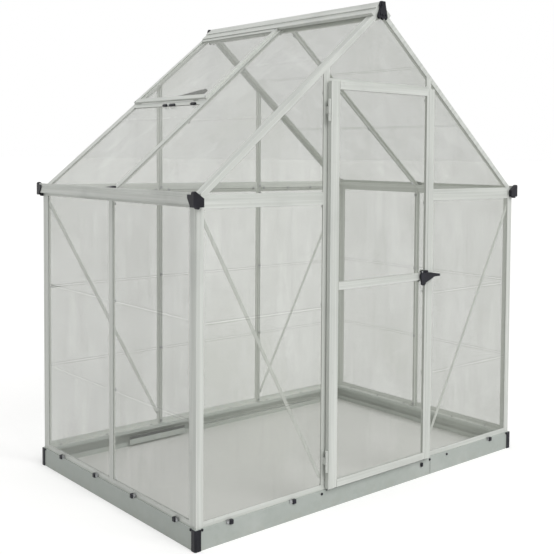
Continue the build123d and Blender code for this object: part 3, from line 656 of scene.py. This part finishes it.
@dataclass
class FastenerField:
    """Places fasteners with a node tree on the points of a carrier mesh.

    Each body gets one mesh for each kind that it carries.
    """

    seed: int = 7
    washer_sides: int = 18
    washer_height: float = 0.0009
    crown_height: float = 0.0008
    seat: float = 0.9 * washer_height
    spots: dict = field(default_factory=dict)

    def add(self, body: str, shape: Shape, places: list[tuple], facing: tuple) -> None:
        """Notes places on a body.

        Args:
            body: The body they ride on.
            shape: Their kind.
            places: Points on the surface, in metres.
            facing: The way their heads point.
        """
        self.spots.setdefault((body, shape), []).extend((place, facing) for place in places)

    def cone(self, graph: Graph, sides: object, top: object, foot: object,
             height: object) -> bpy.types.NodeSocket:
        """Adds a closed cone that stands at zero.

        Args:
            graph: The tree's graph.
            sides: How many sides it has.
            top: Radius of its top.
            foot: Radius of its foot.
            height: Its height.

        Returns:
            Its geometry.
        """
        values = {"Vertices": sides, "Radius Top": top, "Radius Bottom": foot, "Depth": height}
        return graph.node("GeometryNodeMeshCone", None, values).outputs[0]

    def lifted(self, graph: Graph, part: bpy.types.NodeSocket,
               lift: object) -> bpy.types.NodeSocket:
        """The geometry of a part, moved by a vector."""
        values = {"Geometry": part, "Translation": lift}
        return graph.node("GeometryNodeTransform", None, values).outputs[0]

    def heading(self, graph: Graph, seed: bpy.types.NodeSocket) -> bpy.types.NodeSocket:
        """Turns each fastener's head to its facing, and spins it by a random angle.

        Args:
            graph: The tree's graph.
            seed: Seed of the random angles.

        Returns:
            The rotation.
        """
        facing = graph.node("GeometryNodeInputNamedAttribute", {"data_type": "FLOAT_VECTOR"},
                            {"Name": "facing"})
        aimed = graph.node("FunctionNodeAlignRotationToVector", {"axis": "Z"},
                           {"Vector": facing.outputs[0]})
        spin = graph.node("FunctionNodeRandomValue", {"data_type": "FLOAT"},
                          {2: 0.0, 3: math.tau, "Seed": seed})
        about = graph.node("ShaderNodeCombineXYZ", None, {"Z": spin.outputs[1]})
        turn = graph.node("FunctionNodeEulerToRotation", None, {0: about.outputs[0]})
        return graph.node("FunctionNodeRotateRotation", {"rotation_space": "LOCAL"},
                          {0: aimed.outputs[0], 1: turn.outputs[0]}).outputs[0]

    def tree(self, shape: Shape) -> bpy.types.GeometryNodeTree:
        """Builds the node tree that makes one kind.

        Args:
            shape: The kind.

        Returns:
            The tree, with named inputs for its sizes.
        """
        tree = bpy.data.node_groups.new("place_" + shape.value, "GeometryNodeTree")
        sockets = {
            "Geometry": ("Geometry",),
            "Float": ("Low radius", "High radius", "Head height", "Washer radius"),
            "Int": ("Sides", "Seed"),
            "Material": ("Finish",),
        }
        for kind, names in sockets.items():
            for name in names:
                tree.interface.new_socket(name, in_out="INPUT", socket_type="NodeSocket" + kind)
        tree.interface.new_socket("Geometry", in_out="OUTPUT", socket_type="NodeSocketGeometry")
        graph = Graph(tree)
        given = graph.node("NodeGroupInput").outputs
        low, rim, height = given["Low radius"], given["Washer radius"], given["Head height"]
        washer = self.cone(graph, self.washer_sides, rim, rim, self.washer_height)
        head = self.cone(graph, given["Sides"], low, low, height)
        crown = self.cone(graph, given["Sides"], given["High radius"], low, self.crown_height)
        top = graph.node("ShaderNodeCombineXYZ", None, {"Z": Wire(graph, height) + self.seat})
        whole = graph.node("GeometryNodeJoinGeometry", None, {0: [
            washer,
            self.lifted(graph, head, (0.0, 0.0, self.seat)),
            self.lifted(graph, crown, top.outputs[0]),
        ]})
        copies = graph.node("GeometryNodeInstanceOnPoints", None, {
            "Points": given["Geometry"],
            "Instance": whole.outputs[0],
            "Rotation": self.heading(graph, given["Seed"]),
        })
        real = graph.node("GeometryNodeRealizeInstances", None, {"Geometry": copies.outputs[0]})
        coated = graph.node("GeometryNodeSetMaterial", None, {
            "Geometry": real.outputs[0], "Material": given["Finish"]})
        graph.node("NodeGroupOutput", None, {0: coated.outputs[0]})
        return tree

    def build(self) -> None:
        """Makes the meshes and lets them ride on their bodies."""
        for (body, shape), spots in self.spots.items():
            kind = FASTENERS[shape]
            points = bpy.data.meshes.new("carrier")
            points.from_pydata([place for place, _ in spots], [], [])
            facing = points.attributes.new("facing", "FLOAT_VECTOR", "POINT")
            for index, (_, way) in enumerate(spots):
                facing.data[index].vector = way
            carrier = bpy.data.objects.new("carrier", points)
            bpy.context.scene.collection.objects.link(carrier)
            modifier = carrier.modifiers.new("place", "NODES")
            modifier.node_group = self.tree(shape)
            values = {
                "Low radius": kind.low, "High radius": kind.high, "Head height": kind.height,
                "Washer radius": kind.washer, "Sides": kind.sides, "Seed": self.seed,
                "Finish": kind.finish.material(),
            }
            for item in modifier.node_group.interface.items_tree:
                if item.in_out == "INPUT" and item.name in values:
                    modifier[item.identifier] = values[item.name]
            graph = bpy.context.evaluated_depsgraph_get()
            mesh = bpy.data.meshes.new_from_object(carrier.evaluated_get(graph))
            bpy.data.objects.remove(carrier)
            add_piece(f"{shape.value}s_{body}", mesh, body, kind.finish)
            log.info("%d %ss on %s", len(spots), shape.value, body)


def add_piece(name: str, mesh: bpy.types.Mesh, body: str, finish: Finish) -> bpy.types.Object:
    """Makes a mesh a finished piece of the object.

    Args:
        name: The piece's name.
        mesh: Its mesh, in metres and in the frame's own place.
        body: The body it rides on.
        finish: Its finish.

    Returns:
        The new object.
    """
    mesh.name = name
    mesh.materials.clear()
    mesh.materials.append(finish.material())
    for polygon in mesh.polygons:
        polygon.material_index = 0
    piece = bpy.data.objects.new(name, mesh)
    bpy.context.scene.collection.objects.link(piece)
    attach(piece, body)
    log.info("piece %s in %s on %s", name, finish.name, body)
    return piece


def rectangle(left: float, low: float, right: float, high: float) -> list[tuple]:
    """The corners of a rectangle, in order round it."""
    return [(left, low), (right, low), (right, high), (left, high)]


def prism(shape: bmesh.types.BMesh, outline: list[tuple], base: Vector, axes: tuple,
          depth: float) -> None:
    """Adds a flat-ended prism to a mesh.

    Args:
        shape: The mesh being built.
        outline: Points of the outline, as numbers along the first two axes.
        base: Where the outline's zero lies.
        axes: Two axes of the outline and the way it is drawn out.
        depth: How far it is drawn out.
    """
    across, up, out = axes
    near, far = [[shape.verts.new(base + across * a + up * b + out * distance)
                  for a, b in outline] for distance in (0.0, depth)]
    shape.faces.new(near[::-1])
    shape.faces.new(far)
    count = len(outline)
    for index in range(count):
        after = (index + 1) % count
        shape.faces.new((near[index], near[after], far[after], far[index]))


SHARP_ANGLE = 0.5


def close_shape(shape: bmesh.types.BMesh, bevel: float = 0.0) -> bpy.types.Mesh:
    """Turns a built shape into a mesh with outward faces and softened edges.

    Args:
        shape: The shape, which is freed.
        bevel: Radius of its rounded edges, or 0.

    Returns:
        The mesh.
    """
    bmesh.ops.recalc_face_normals(shape, faces=shape.faces)
    if bevel:
        sharp = [edge for edge in shape.edges
                 if len(edge.link_faces) == 2 and edge.calc_face_angle() > SHARP_ANGLE]
        bmesh.ops.bevel(shape, geom=sharp, offset=bevel, segments=2, affect="EDGES",
                        clamp_overlap=True)
    mesh = bpy.data.meshes.new("shape")
    shape.to_mesh(mesh)
    shape.free()
    return mesh


WELD_GAP = 0.00002
SOFT_ANGLE = math.radians(35)


def soften(names: tuple, radius: float) -> None:
    """Rounds the edges of moulded CAD nodes.

    Args:
        names: The nodes.
        radius: Radius of the rounding, in metres.
    """
    for name in names:
        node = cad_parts[name]
        weld = node.modifiers.new("weld", "WELD")
        weld.merge_threshold = WELD_GAP
        bevel = node.modifiers.new("soft_edges", "BEVEL")
        bevel.width = radius
        bevel.segments = 3
        bevel.limit_method = "ANGLE"
        bevel.angle_limit = SOFT_ANGLE
        bevel.harden_normals = False
        log.info("soft edges on %s", name)


def paint(names: tuple, finish: Finish) -> None:
    """Gives CAD nodes a finish.

    Args:
        names: The nodes.
        finish: Their finish.
    """
    for name in names:
        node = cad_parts[name]
        node.data.materials.clear()
        node.data.materials.append(finish.material())
        log.info("finish %s on %s", finish.name, name)


@dataclass
class Assembly:
    """What the framed assemblies share: the field that takes their fasteners."""

    fasteners: FastenerField


@dataclass
class SteelBase(Assembly):
    """The folded steel base with its corner caps, pegs and joints.

    A flat form is given as left, low, right and high round its own place.
    """

    half_x: float = 0.907
    half_y: float = 0.637
    height: float = 0.080
    bolts_x: tuple = (-0.311, 0.329, 0.444)
    bolt_z: float = 0.067
    cap_edge: float = 0.0010
    cap_wall: float = 0.004
    ear: tuple = (-0.0035, -0.0075, 0.0035, 0.0015)
    ear_from_corner: float = 0.031
    ear_sunk: float = 0.0045
    ear_depth: float = 0.0070
    ear_edge: float = 0.001
    front_pegs: tuple = (-0.754, -0.456, 0.754)
    rear_pegs: tuple = (-0.754, -0.456, 0.456, 0.754)
    side_pegs: tuple = (-0.499, -0.185, 0.129, 0.443)
    peg_z: float = 0.0735
    side_peg_z: float = 0.0825
    peg: tuple = (-0.0075, -0.0085, 0.0085, 0.0085)
    peg_sunk: float = 0.0050
    peg_depth: float = 0.0127
    peg_edge: float = 0.0010
    tab: tuple = (-0.0205, -0.0045, -0.0070, 0.0095)
    tab_depth: float = 0.0085
    tab_edge: float = 0.0008
    foot_place: tuple = (0.274, 0.056)
    foot: tuple = (-0.0060, -0.0085, 0.0060, 0.0085)
    foot_sunk: float = 0.001
    foot_depth: float = 0.0085
    splice_x: float = 0.335
    splice_half: float = 0.155
    splice_inside: float = 0.0435
    splice_depth: float = 0.0030
    splice_edge: float = 0.0007
    bar_heights: tuple = (0.012, 0.0380)
    # The black strip above each bar is painted shade, standing in for the shaded recess there.
    shade_strip_heights: tuple = (0.0375, 0.0520)
    shade_strip_behind: float = 0.0010
    # A black strip along the base's front face under the doorway.
    doorway_strip: tuple = (-0.288, 0.0752, 0.306, 0.0797)
    doorway_strip_depth: float = 0.0018
    seam_sunk: float = 0.0010
    # Thin black lines of painted shade, standing in for the shadow at the edge where two lengths of
    # base lap.
    lap_heights: tuple = (0.003, 0.073)
    lap_half: float = 0.0006
    lap_beside: float = 0.003
    lap_depth: float = 0.0014

    def dress(self) -> None:
        """Paints the sheets, caps and pegs."""
        paint(("base_front", "base_rear", "base_left", "base_right"), ZINC)
        paint(("base_corner_caps", "base_pegs"), PLASTIC)
        soften(("base_corner_caps",), self.cap_edge)

    def ears(self) -> None:
        """Builds the small hooks of the corner caps that grip the base's top edge."""
        shape = bmesh.new()
        for side_x in SIDES:
            for side_y in SIDES:
                corner = Vector((side_x * (self.half_x + self.cap_wall),
                                 side_y * (self.half_y + self.cap_wall), self.height))
                for along, out in ((-side_x * EAST, side_y * BACK),
                                   (-side_y * BACK, side_x * EAST)):
                    base = corner + along * self.ear_from_corner - out * self.ear_sunk
                    prism(shape, rectangle(*self.ear), base, (along, UP, out), self.ear_depth)
        add_piece("corner_cap_ears", close_shape(shape, self.ear_edge), "greenhouse", PLASTIC)

    def peg_places(self) -> list[tuple[Vector, Vector, Vector]]:
        """Lists the pegs' places.

        Returns:
            For each peg its point, the way along the wall and the way out of it.
        """
        places = []
        for face, row in ((-1, self.front_pegs), (1, self.rear_pegs)):
            for x in row:
                places.append((Vector((x, face * self.half_y, self.peg_z)), EAST, face * BACK))
        for side in SIDES:
            for y in self.side_pegs:
                point = Vector((side * self.half_x, y, self.side_peg_z))
                places.append((point, BACK, side * EAST))
        return places

    def pegs(self) -> None:
        """Builds the square pegs that lock the sills to the base, and the steel tab beside each."""
        blocks, tabs = bmesh.new(), bmesh.new()
        for place, across, out in self.peg_places():
            base = place - out * self.peg_sunk
            prism(blocks, rectangle(*self.peg), base, (across, UP, out), self.peg_depth)
            prism(tabs, rectangle(*self.tab), base, (across, UP, out), self.tab_depth)
        x, z = self.foot_place
        base = Vector((x, self.foot_sunk - self.half_y, z))
        prism(blocks, rectangle(*self.foot), base, (EAST, UP, -BACK), self.foot_depth)
        piece = add_piece("square_pegs", close_shape(blocks, self.peg_edge), "greenhouse", PLASTIC)
        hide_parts("base_pegs")
        add_piece("peg_tabs", close_shape(tabs, self.tab_edge), "greenhouse", PLATED)

    def splices(self) -> None:
        """Builds the bars that join two lengths of base on the inner side, and above each a black
        strip of painted shade, where the channel over the bar is dark.
        """
        bars, shade_strips = bmesh.new(), bmesh.new()
        for face in SIDES:
            out = -face * BACK
            base = Vector((-face * self.splice_x, face * (self.half_y - self.splice_inside), 0.0))
            for shape, (low, high), behind in ((bars, self.bar_heights, 0.0),
                                               (shade_strips, self.shade_strip_heights, self.shade_strip_behind)):
                outline = rectangle(-self.splice_half, low, self.splice_half, high)
                prism(shape, outline, base - out * behind, (EAST, UP, out), self.splice_depth)
        edge = self.splice_edge
        add_piece("base_splice_bars", close_shape(bars, edge), "greenhouse", ZINC)
        # The black strips are painted shade for the dark recess above each bar.
        add_piece("base_splice_painted_shade", close_shape(shade_strips, edge), "greenhouse", PLASTIC)

    def seams(self) -> None:
        """Builds a black strip under the doorway, and thin black lines of painted shade where two
        lengths of base lap.
        """
        shape = bmesh.new()
        skin = self.half_y - self.seam_sunk
        # The black strip under the doorway.
        prism(shape, rectangle(*self.doorway_strip), -skin * BACK, (EAST, UP, -BACK), self.doorway_strip_depth)
        # Painted shade: a thin black line at each lap's edge.
        low, high = self.lap_heights
        for face in SIDES:
            middle = -face * (self.splice_x - self.lap_beside)
            lap = rectangle(middle - self.lap_half, low, middle + self.lap_half, high)
            prism(shape, lap, face * skin * BACK, (EAST, UP, face * BACK), self.lap_depth)
        add_piece("base_dark_strips", close_shape(shape), "greenhouse", PLASTIC)

    def bolts(self) -> None:
        """Places the bolts of the front and rear joints."""
        for face in SIDES:
            places = [(-face * x, face * self.half_y, self.bolt_z) for x in self.bolts_x]
            self.fasteners.add("greenhouse", Shape.BUTTON, places, (0, face, 0))

    def build(self) -> None:
        """Dresses the base and adds its small pieces."""
        self.dress()
        self.ears()
        self.pegs()
        self.splices()
        self.seams()
        self.bolts()


@dataclass(frozen=True)
class EndWall:
    """The front or rear wall: the way it faces, its studs, and the nuts that it alone has."""

    face: int
    stud_x: float
    top_nut: float
    rail_nuts: tuple


@dataclass
class WallFrame(Assembly):
    """Posts, studs, jambs, sills, rails, braces and gutters."""

    frame_x: float = 0.901
    frame_y: float = 0.631
    sill_z: float = 0.0815
    rail_z: float = 1.2545
    channel: float = 0.016
    walls: tuple = (EndWall(-1, 0.297, 1.68, ()), EndWall(1, 0.304, 1.268, (-0.26, 0.0, 0.26)))
    nut_heights: tuple = (0.094, 0.466, 0.832, 1.228)
    rail_nuts_x: tuple = (0.5, 0.66, 0.845)
    nut_past_stud: float = 0.028
    brace_head: tuple = (0.881, 1.2185)
    brace_foot_z: float = 0.1385
    brace_past_stud: float = 0.0175
    brace_inside: float = 0.0073
    side_screws: tuple = (-0.50, -0.28, -0.07, 0.07, 0.28, 0.50)
    front_screws: tuple = (0.36, 0.60, 0.83)
    rear_screws: tuple = (0.12, 0.36, 0.60, 0.83)
    bead_radius: float = 0.0012
    bead_sides: int = 10
    bead_sunk: float = 0.2
    lip_out: float = 0.0200
    lip_z: float = 1.2940
    lip_ends: float = 0.002

    def dress(self) -> None:
        """Paints every bar along its own run."""
        paint(("front_sills", "rear_sill", "front_eave_rails", "rear_eave_rail", "door_lintel"),
              METAL_ACROSS)
        paint(("side_sills", "gutter_left", "gutter_right"), METAL_BACK)
        paint(("front_corner_posts", "rear_corner_posts", "side_studs", "rear_studs",
               "door_jamb_left", "door_jamb_right", "front_braces", "rear_braces", "jamb_hinges"),
              METAL_UP)

    def upright_nuts(self) -> None:
        """Places the nuts in the bolt channels of the uprights."""
        inner_x, inner_y = self.frame_x - self.channel, self.frame_y - self.channel
        for side in SIDES:
            spots = [(side * inner_x, 0.0, z) for z in self.nut_heights]
            self.fasteners.add("greenhouse", Shape.NUT, spots, (-side, 0, 0))
            for wall in self.walls:
                heights = (*self.nut_heights, wall.top_nut)
                spots = [(side * wall.stud_x, wall.face * inner_y, z) for z in heights]
                self.fasteners.add("greenhouse", Shape.NUT, spots, (0, -wall.face, 0))

    def rail_nuts(self) -> None:
        """Places the nuts along the eave rails' channels and the screws at the braces' ends."""
        for wall in self.walls:
            nuts_x, ends = [], []
            for side in SIDES:
                row = (wall.stud_x + self.nut_past_stud, *self.rail_nuts_x)
                nuts_x += [side * x for x in row]
                ends += [(side * self.brace_head[0], self.brace_head[1]),
                         (side * (wall.stud_x + self.brace_past_stud), self.brace_foot_z)]
            nuts_x += wall.rail_nuts
            nut_y = wall.face * (self.frame_y - self.channel)
            spots = [(x, nut_y, self.rail_z) for x in nuts_x]
            self.fasteners.add("greenhouse", Shape.NUT, spots, (0, -wall.face, 0))
            end_y = wall.face * (self.frame_y - self.brace_inside)
            spots = [(x, end_y, z) for x, z in ends]
            self.fasteners.add("greenhouse", Shape.SCREW, spots, (0, -wall.face, 0))

    def sill_screws(self) -> None:
        """Places the screws that hold the sills' feet to the base."""
        inner_x, inner_y = self.frame_x - self.channel, self.frame_y - self.channel
        for side in SIDES:
            spots = [(side * inner_x, y, self.sill_z) for y in self.side_screws]
            spots += [(side * x, -inner_y, self.sill_z) for x in self.front_screws]
            spots += [(side * x, inner_y, self.sill_z) for x in self.rear_screws]
            self.fasteners.add("greenhouse", Shape.SCREW, spots, (0, 0, 1))

    def gutter_beads(self) -> None:
        """Builds the rolled bead along each gutter's lip."""
        shape = bmesh.new()
        radius = self.bead_radius
        turns = [math.tau * k / self.bead_sides for k in range(self.bead_sides)]
        ring = [(radius * math.cos(turn), radius * math.sin(turn)) for turn in turns]
        for side in SIDES:
            base = Vector((side * (self.frame_x + self.lip_out - radius),
                           self.lip_ends - self.frame_y, self.lip_z - radius * self.bead_sunk))
            prism(shape, ring, base, (EAST, UP, BACK), 2 * (self.frame_y - self.lip_ends))
        add_piece("gutter_beads", close_shape(shape), "greenhouse", METAL_BACK)

    def build(self) -> None:
        """Dresses the frame and adds its small pieces."""
        self.dress()
        self.upright_nuts()
        self.rail_nuts()
        self.sill_screws()
        self.gutter_beads()


@dataclass
class RoofFrame(Assembly):
    """Rafters, ridge, vent and the moulded caps at the eaves and the ridge."""

    frame_y: float = 0.631
    eave_x: float = 0.901
    eave_z: float = 1.276
    ridge_z: float = 2.054
    eave_cap_edge: float = 0.0028
    cap_outline: tuple = (
        (-0.0125, 0.0), (-0.0160, -0.0080), (-0.0185, -0.0200), (-0.0140, -0.0235),
        (-0.0190, -0.0400), (-0.0260, -0.0580), (-0.0262, -0.0665), (-0.0205, -0.0760),
        (-0.0165, -0.0690), (-0.0095, -0.0665), (-0.0030, -0.0775), (0.0030, -0.0775),
        (0.0085, -0.0665), (0.0150, -0.0690), (0.0205, -0.0770), (0.0262, -0.0665),
        (0.0255, -0.0580), (0.0190, -0.0360), (0.0150, -0.0170), (0.0125, 0.0),
    )
    cap_top: float = 2.0775
    cap_gap: float = 0.0012
    cap_plate: float = 0.0115
    cap_raised_from: float = 0.0114
    cap_raised: float = 0.0040
    cap_raised_size: tuple = (0.74, 0.80)
    cap_raised_below: float = 0.004
    cap_edge: float = 0.0013
    end_plate: tuple = (0.010, -0.004, 0.0615, 0.0138)
    end_plate_sunk: float = 0.0001
    end_plate_depth: float = 0.0010
    rafter_nuts_at: tuple = (0.045, 0.47, 0.85, 1.12)
    rafter_channel: float = 0.016
    clips: tuple = ((0.300, 0.016), (0.238, 0.024), (0.064, 0.020))
    clip_run: float = 0.5735
    clip_half: float = 0.0055
    clip_taper: float = 0.8
    clip_depth: float = 0.0105
    clip_edge: float = 0.0014
    vent_runs: tuple = (0.614, 1.117)
    vent_backs: tuple = (0.012, 0.619)
    vent_face: float = 0.0103

    def slope_axes(self, side: int) -> tuple[Vector, Vector]:
        """The axes of a slope.

        Args:
            side: -1 for the left slope, 1 for the right.

        Returns:
            The way up the slope and the way out of the roof.
        """
        along = Vector((-side * math.cos(ROOF_SLOPE), 0, math.sin(ROOF_SLOPE)))
        out = Vector((side * math.sin(ROOF_SLOPE), 0, math.cos(ROOF_SLOPE)))
        return along, out

    def slope_point(self, side: int, run: float, y: float, lift: float = 0.0) -> Vector:
        """A point on a slope.

        Args:
            side: -1 for the left slope, 1 for the right.
            run: Distance up from the eave.
            y: Distance back.
            lift: Distance out from the roof's face.

        Returns:
            The point.
        """
        along, out = self.slope_axes(side)
        return Vector((side * self.eave_x, y, self.eave_z)) + along * run + out * lift

    def dress(self) -> None:
        """Paints the bars and the moulded pieces."""
        paint(("front_gable_rafters", "rear_gable_rafters", "mid_rafters"), METAL_SLOPE)
        paint(("ridge_beam", "vent_trimmer", "vent_frame"), METAL_BACK)
        paint(("eave_caps", "eave_connectors", "ridge_caps", "vent_arm"), PLASTIC)
        soften(("eave_caps",), self.eave_cap_edge)

    def ridge_cap_mouldings(self) -> None:
        """Builds the ridge's two end caps: a waisted plate with three feet and a raised face."""
        shape = bmesh.new()
        wide, tall = self.cap_raised_size
        below = self.cap_raised_below
        raised = [(x * wide, -below + (z + below) * tall) for x, z in self.cap_outline]
        for face in SIDES:
            base = Vector((0, face * (self.frame_y + self.cap_gap), self.cap_top))
            out = face * BACK
            prism(shape, list(self.cap_outline), base, (EAST, UP, out), self.cap_plate)
            base = base + out * self.cap_raised_from
            prism(shape, raised, base, (EAST, UP, out), self.cap_raised)
        mesh = close_shape(shape, self.cap_edge)
        piece = add_piece("ridge_cap_mouldings", mesh, "greenhouse", PLASTIC)
        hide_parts("ridge_caps")

    def ridge_end_plates(self) -> None:
        """Builds the thin plates that close the ends of the ridge's flanges."""
        shape = bmesh.new()
        for face in SIDES:
            base = Vector((0, face * (self.frame_y - self.end_plate_sunk), self.ridge_z))
            for side in SIDES:
                along, out = self.slope_axes(side)
                axes = (-along, out, face * BACK)
                prism(shape, rectangle(*self.end_plate), base, axes, self.end_plate_depth)
        add_piece("ridge_end_plates", close_shape(shape), "greenhouse", METAL_SLOPE)

    def rafter_nuts(self) -> None:
        """Places the nuts in the middle rafters' channels, on their underside."""
        for side in SIDES:
            _, out = self.slope_axes(side)
            spots = [tuple(self.slope_point(side, run, 0.0, -self.rafter_channel))
                     for run in self.rafter_nuts_at]
            self.fasteners.add("greenhouse", Shape.NUT, spots, tuple(-out))

    def vent_clips(self) -> None:
        """Builds the clips under the vent's lower rail."""
        shape = bmesh.new()
        up, out = self.slope_axes(-1)
        high = self.clip_half
        for y, half in self.clips:
            top = half * self.clip_taper
            outline = [(-half, -high), (half, -high), (top, high), (-top, high)]
            base = self.slope_point(-1, self.clip_run, y)
            prism(shape, outline, base, (-BACK, up, out), self.clip_depth)
        add_piece("vent_clips", close_shape(shape, self.clip_edge), "greenhouse", PLASTIC)

    def vent_rivets(self) -> None:
        """Places the rivets of the vent's corners."""
        _, out = self.slope_axes(-1)
        corners = [tuple(self.slope_point(-1, run, y, self.vent_face))
                   for run in self.vent_runs for y in self.vent_backs]
        self.fasteners.add("greenhouse", Shape.RIVET, corners, tuple(out))

    def build(self) -> None:
        """Dresses the roof and adds its small pieces."""
        self.dress()
        self.ridge_cap_mouldings()
        self.ridge_end_plates()
        self.rafter_nuts()
        self.vent_clips()
        self.vent_rivets()


@dataclass
class Glazing:
    """The clear sheets and the joiner strips between their rows."""

    sheets: tuple = (
        "left_wall_sheets", "right_wall_sheets", "front_wall_sheets", "rear_wall_sheets",
        "front_gable_sheets", "rear_gable_sheets", "left_roof_sheets", "right_roof_sheets",
        "vent_sheet", "door_sheets",
    )
    strips: tuple = ("sheet_joiners",)

    def build(self) -> None:
        """Dresses the sheets and lets light through them."""
        paint(self.sheets, GLAZING)
        paint(self.strips, STRIP)
        for name in self.sheets + self.strips:
            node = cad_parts[name]
            # The sheets cast no shadow; the floor's painted shadow inside the base stands in for
            # it.
            node.visible_shadow = False
            node.visible_diffuse = False


@dataclass
class Door(Assembly):
    """The hinged door: stiles, rails, hinges and its lock plate."""

    left: float = -0.293
    right: float = 0.309
    front: float = -0.656
    back: float = -0.636
    stile: float = 0.032
    rail_heights: tuple = (0.1005, 0.9064, 1.7123)
    rivet_past_stile: float = 0.024
    rivet_half_gap: float = 0.007
    plate_x: float = 0.256
    plate_z: float = 0.9064
    plate_out: float = 0.004
    plate_rivets: tuple = ((0.0155, -0.0195), (-0.016, 0.0200))

    def dress(self) -> None:
        """Paints the door's bars and its plate."""
        paint(("door_stiles", "door_hinges"), METAL_UP)
        paint(("door_rails",), METAL_ACROSS)
        paint(("latch_plate",), PLASTIC)

    def fixings(self) -> None:
        """Places the rivets where rails meet stiles, and those of the lock plate."""
        inside = self.stile + self.rivet_past_stile
        gap = self.rivet_half_gap
        spots = [(x, self.back, z + up) for z in self.rail_heights
                 for x in (self.left + inside, self.right - inside) for up in (-gap, gap)]
        self.fasteners.add("door", Shape.RIVET, spots, (0, 1, 0))
        plate = [(self.plate_x + across, self.front - self.plate_out, self.plate_z + up)
                 for across, up in self.plate_rivets]
        self.fasteners.add("door", Shape.RIVET, plate, (0, -1, 0))

    def build(self) -> None:
        """Dresses the door and adds its rivets."""
        self.dress()
        self.fixings()


@dataclass
class Latch:
    """The lever that turns on the door's spindle."""

    levers: tuple = ("latch_lever",)

    def build(self) -> None:
        """Dresses the lever."""
        paint(self.levers, PLASTIC)


@dataclass
class Studio:
    """Floor, world, lamp and the camera at the photograph's place."""

    floor_half: float = 400.0
    dome: float = 0.54
    lamp_from: tuple = (0.04, -0.70, 0.71)
    lamp_width: float = 0.60
    lamp_strength: float = 1.70
    eye: tuple = (-2.687, -3.400, 1.425)
    yaw: float = 43.37
    pitch: float = -2.58
    roll: float = 0.60
    focal: float = 916.0
    centre: tuple = (367.0, 199.0)
    sensor: float = 36.0
    sight: float = 1000.0

    def floor(self) -> None:
        """Lays the floor that the object stands on."""
        mesh = bpy.data.meshes.new("studio_floor")
        half = self.floor_half
        corners = [(x, y, 0) for x, y in rectangle(-half, -half, half, half)]
        mesh.from_pydata(corners, [], [(0, 1, 2, 3)])
        plane = bpy.data.objects.new("studio_floor", mesh)
        bpy.context.scene.collection.objects.link(plane)
        mesh.materials.append(StudioWhite().build())

    def world(self) -> None:
        """Sets the soft surrounding light, white to the camera."""
        world = bpy.data.worlds.new("studio")
        bpy.context.scene.world = world
        world.use_nodes = True
        graph = Graph(world.node_tree)
        strength = self.dome + seen_ray(graph) * (1.0 - self.dome)
        values = {"Color": WHITE, "Strength": strength}
        back = graph.node("ShaderNodeBackground", None, values)
        graph.node("ShaderNodeOutputWorld", None, {"Surface": back.outputs[0]})

    def light(self) -> None:
        """Adds the broad soft lamp, which lights the floor evenly as far as it reaches."""
        lamp = bpy.data.lights.new("key", "SUN")
        lamp.angle = self.lamp_width
        lamp.energy = self.lamp_strength
        made = bpy.data.objects.new("key", lamp)
        made.rotation_euler = Vector(self.lamp_from).to_track_quat("Z", "Y").to_euler()
        bpy.context.scene.collection.objects.link(made)

    def camera(self) -> None:
        """Puts the camera where the photograph was taken from."""
        yaw, pitch, roll = (math.radians(v) for v in (self.yaw, self.pitch, self.roll))
        level = math.cos(pitch)
        forward = Vector((level * math.sin(yaw), level * math.cos(yaw), math.sin(pitch)))
        right = Vector((math.cos(yaw), -math.sin(yaw), 0.0))
        up = right.cross(forward)
        side = math.cos(roll) * right + math.sin(roll) * up
        top = -math.sin(roll) * right + math.cos(roll) * up
        turn = Matrix((side, top, -forward)).transposed()
        lens = bpy.data.cameras.new("photo_camera")
        lens.sensor_width = self.sensor
        lens.lens = self.focal / PHOTO_SIDE * self.sensor
        lens.shift_x = (PHOTO_SIDE / 2 - self.centre[0]) / PHOTO_SIDE
        lens.shift_y = (self.centre[1] - PHOTO_SIDE / 2) / PHOTO_SIDE
        lens.clip_end = self.sight
        made = bpy.data.objects.new("photo_camera", lens)
        made.matrix_world = Matrix.Translation(Vector(self.eye)) @ turn.to_4x4()
        bpy.context.scene.collection.objects.link(made)
        bpy.context.scene.camera = made

    def build(self) -> None:
        """Builds everything round the object."""
        self.floor()
        self.world()
        self.light()
        self.camera()
        bpy.context.scene.view_settings.view_transform = "Standard"


def main() -> None:
    """Builds the scene in order."""
    logging.basicConfig(level=logging.INFO, format="%(message)s")
    fasteners = FastenerField()
    framed = [kind(fasteners) for kind in (SteelBase, WallFrame, RoofFrame, Door)]
    for part in (*framed, Latch(), Glazing(), fasteners, Studio()):
        part.build()
        log.info("built %s", type(part).__name__)


if __name__ == "__main__":
    main()
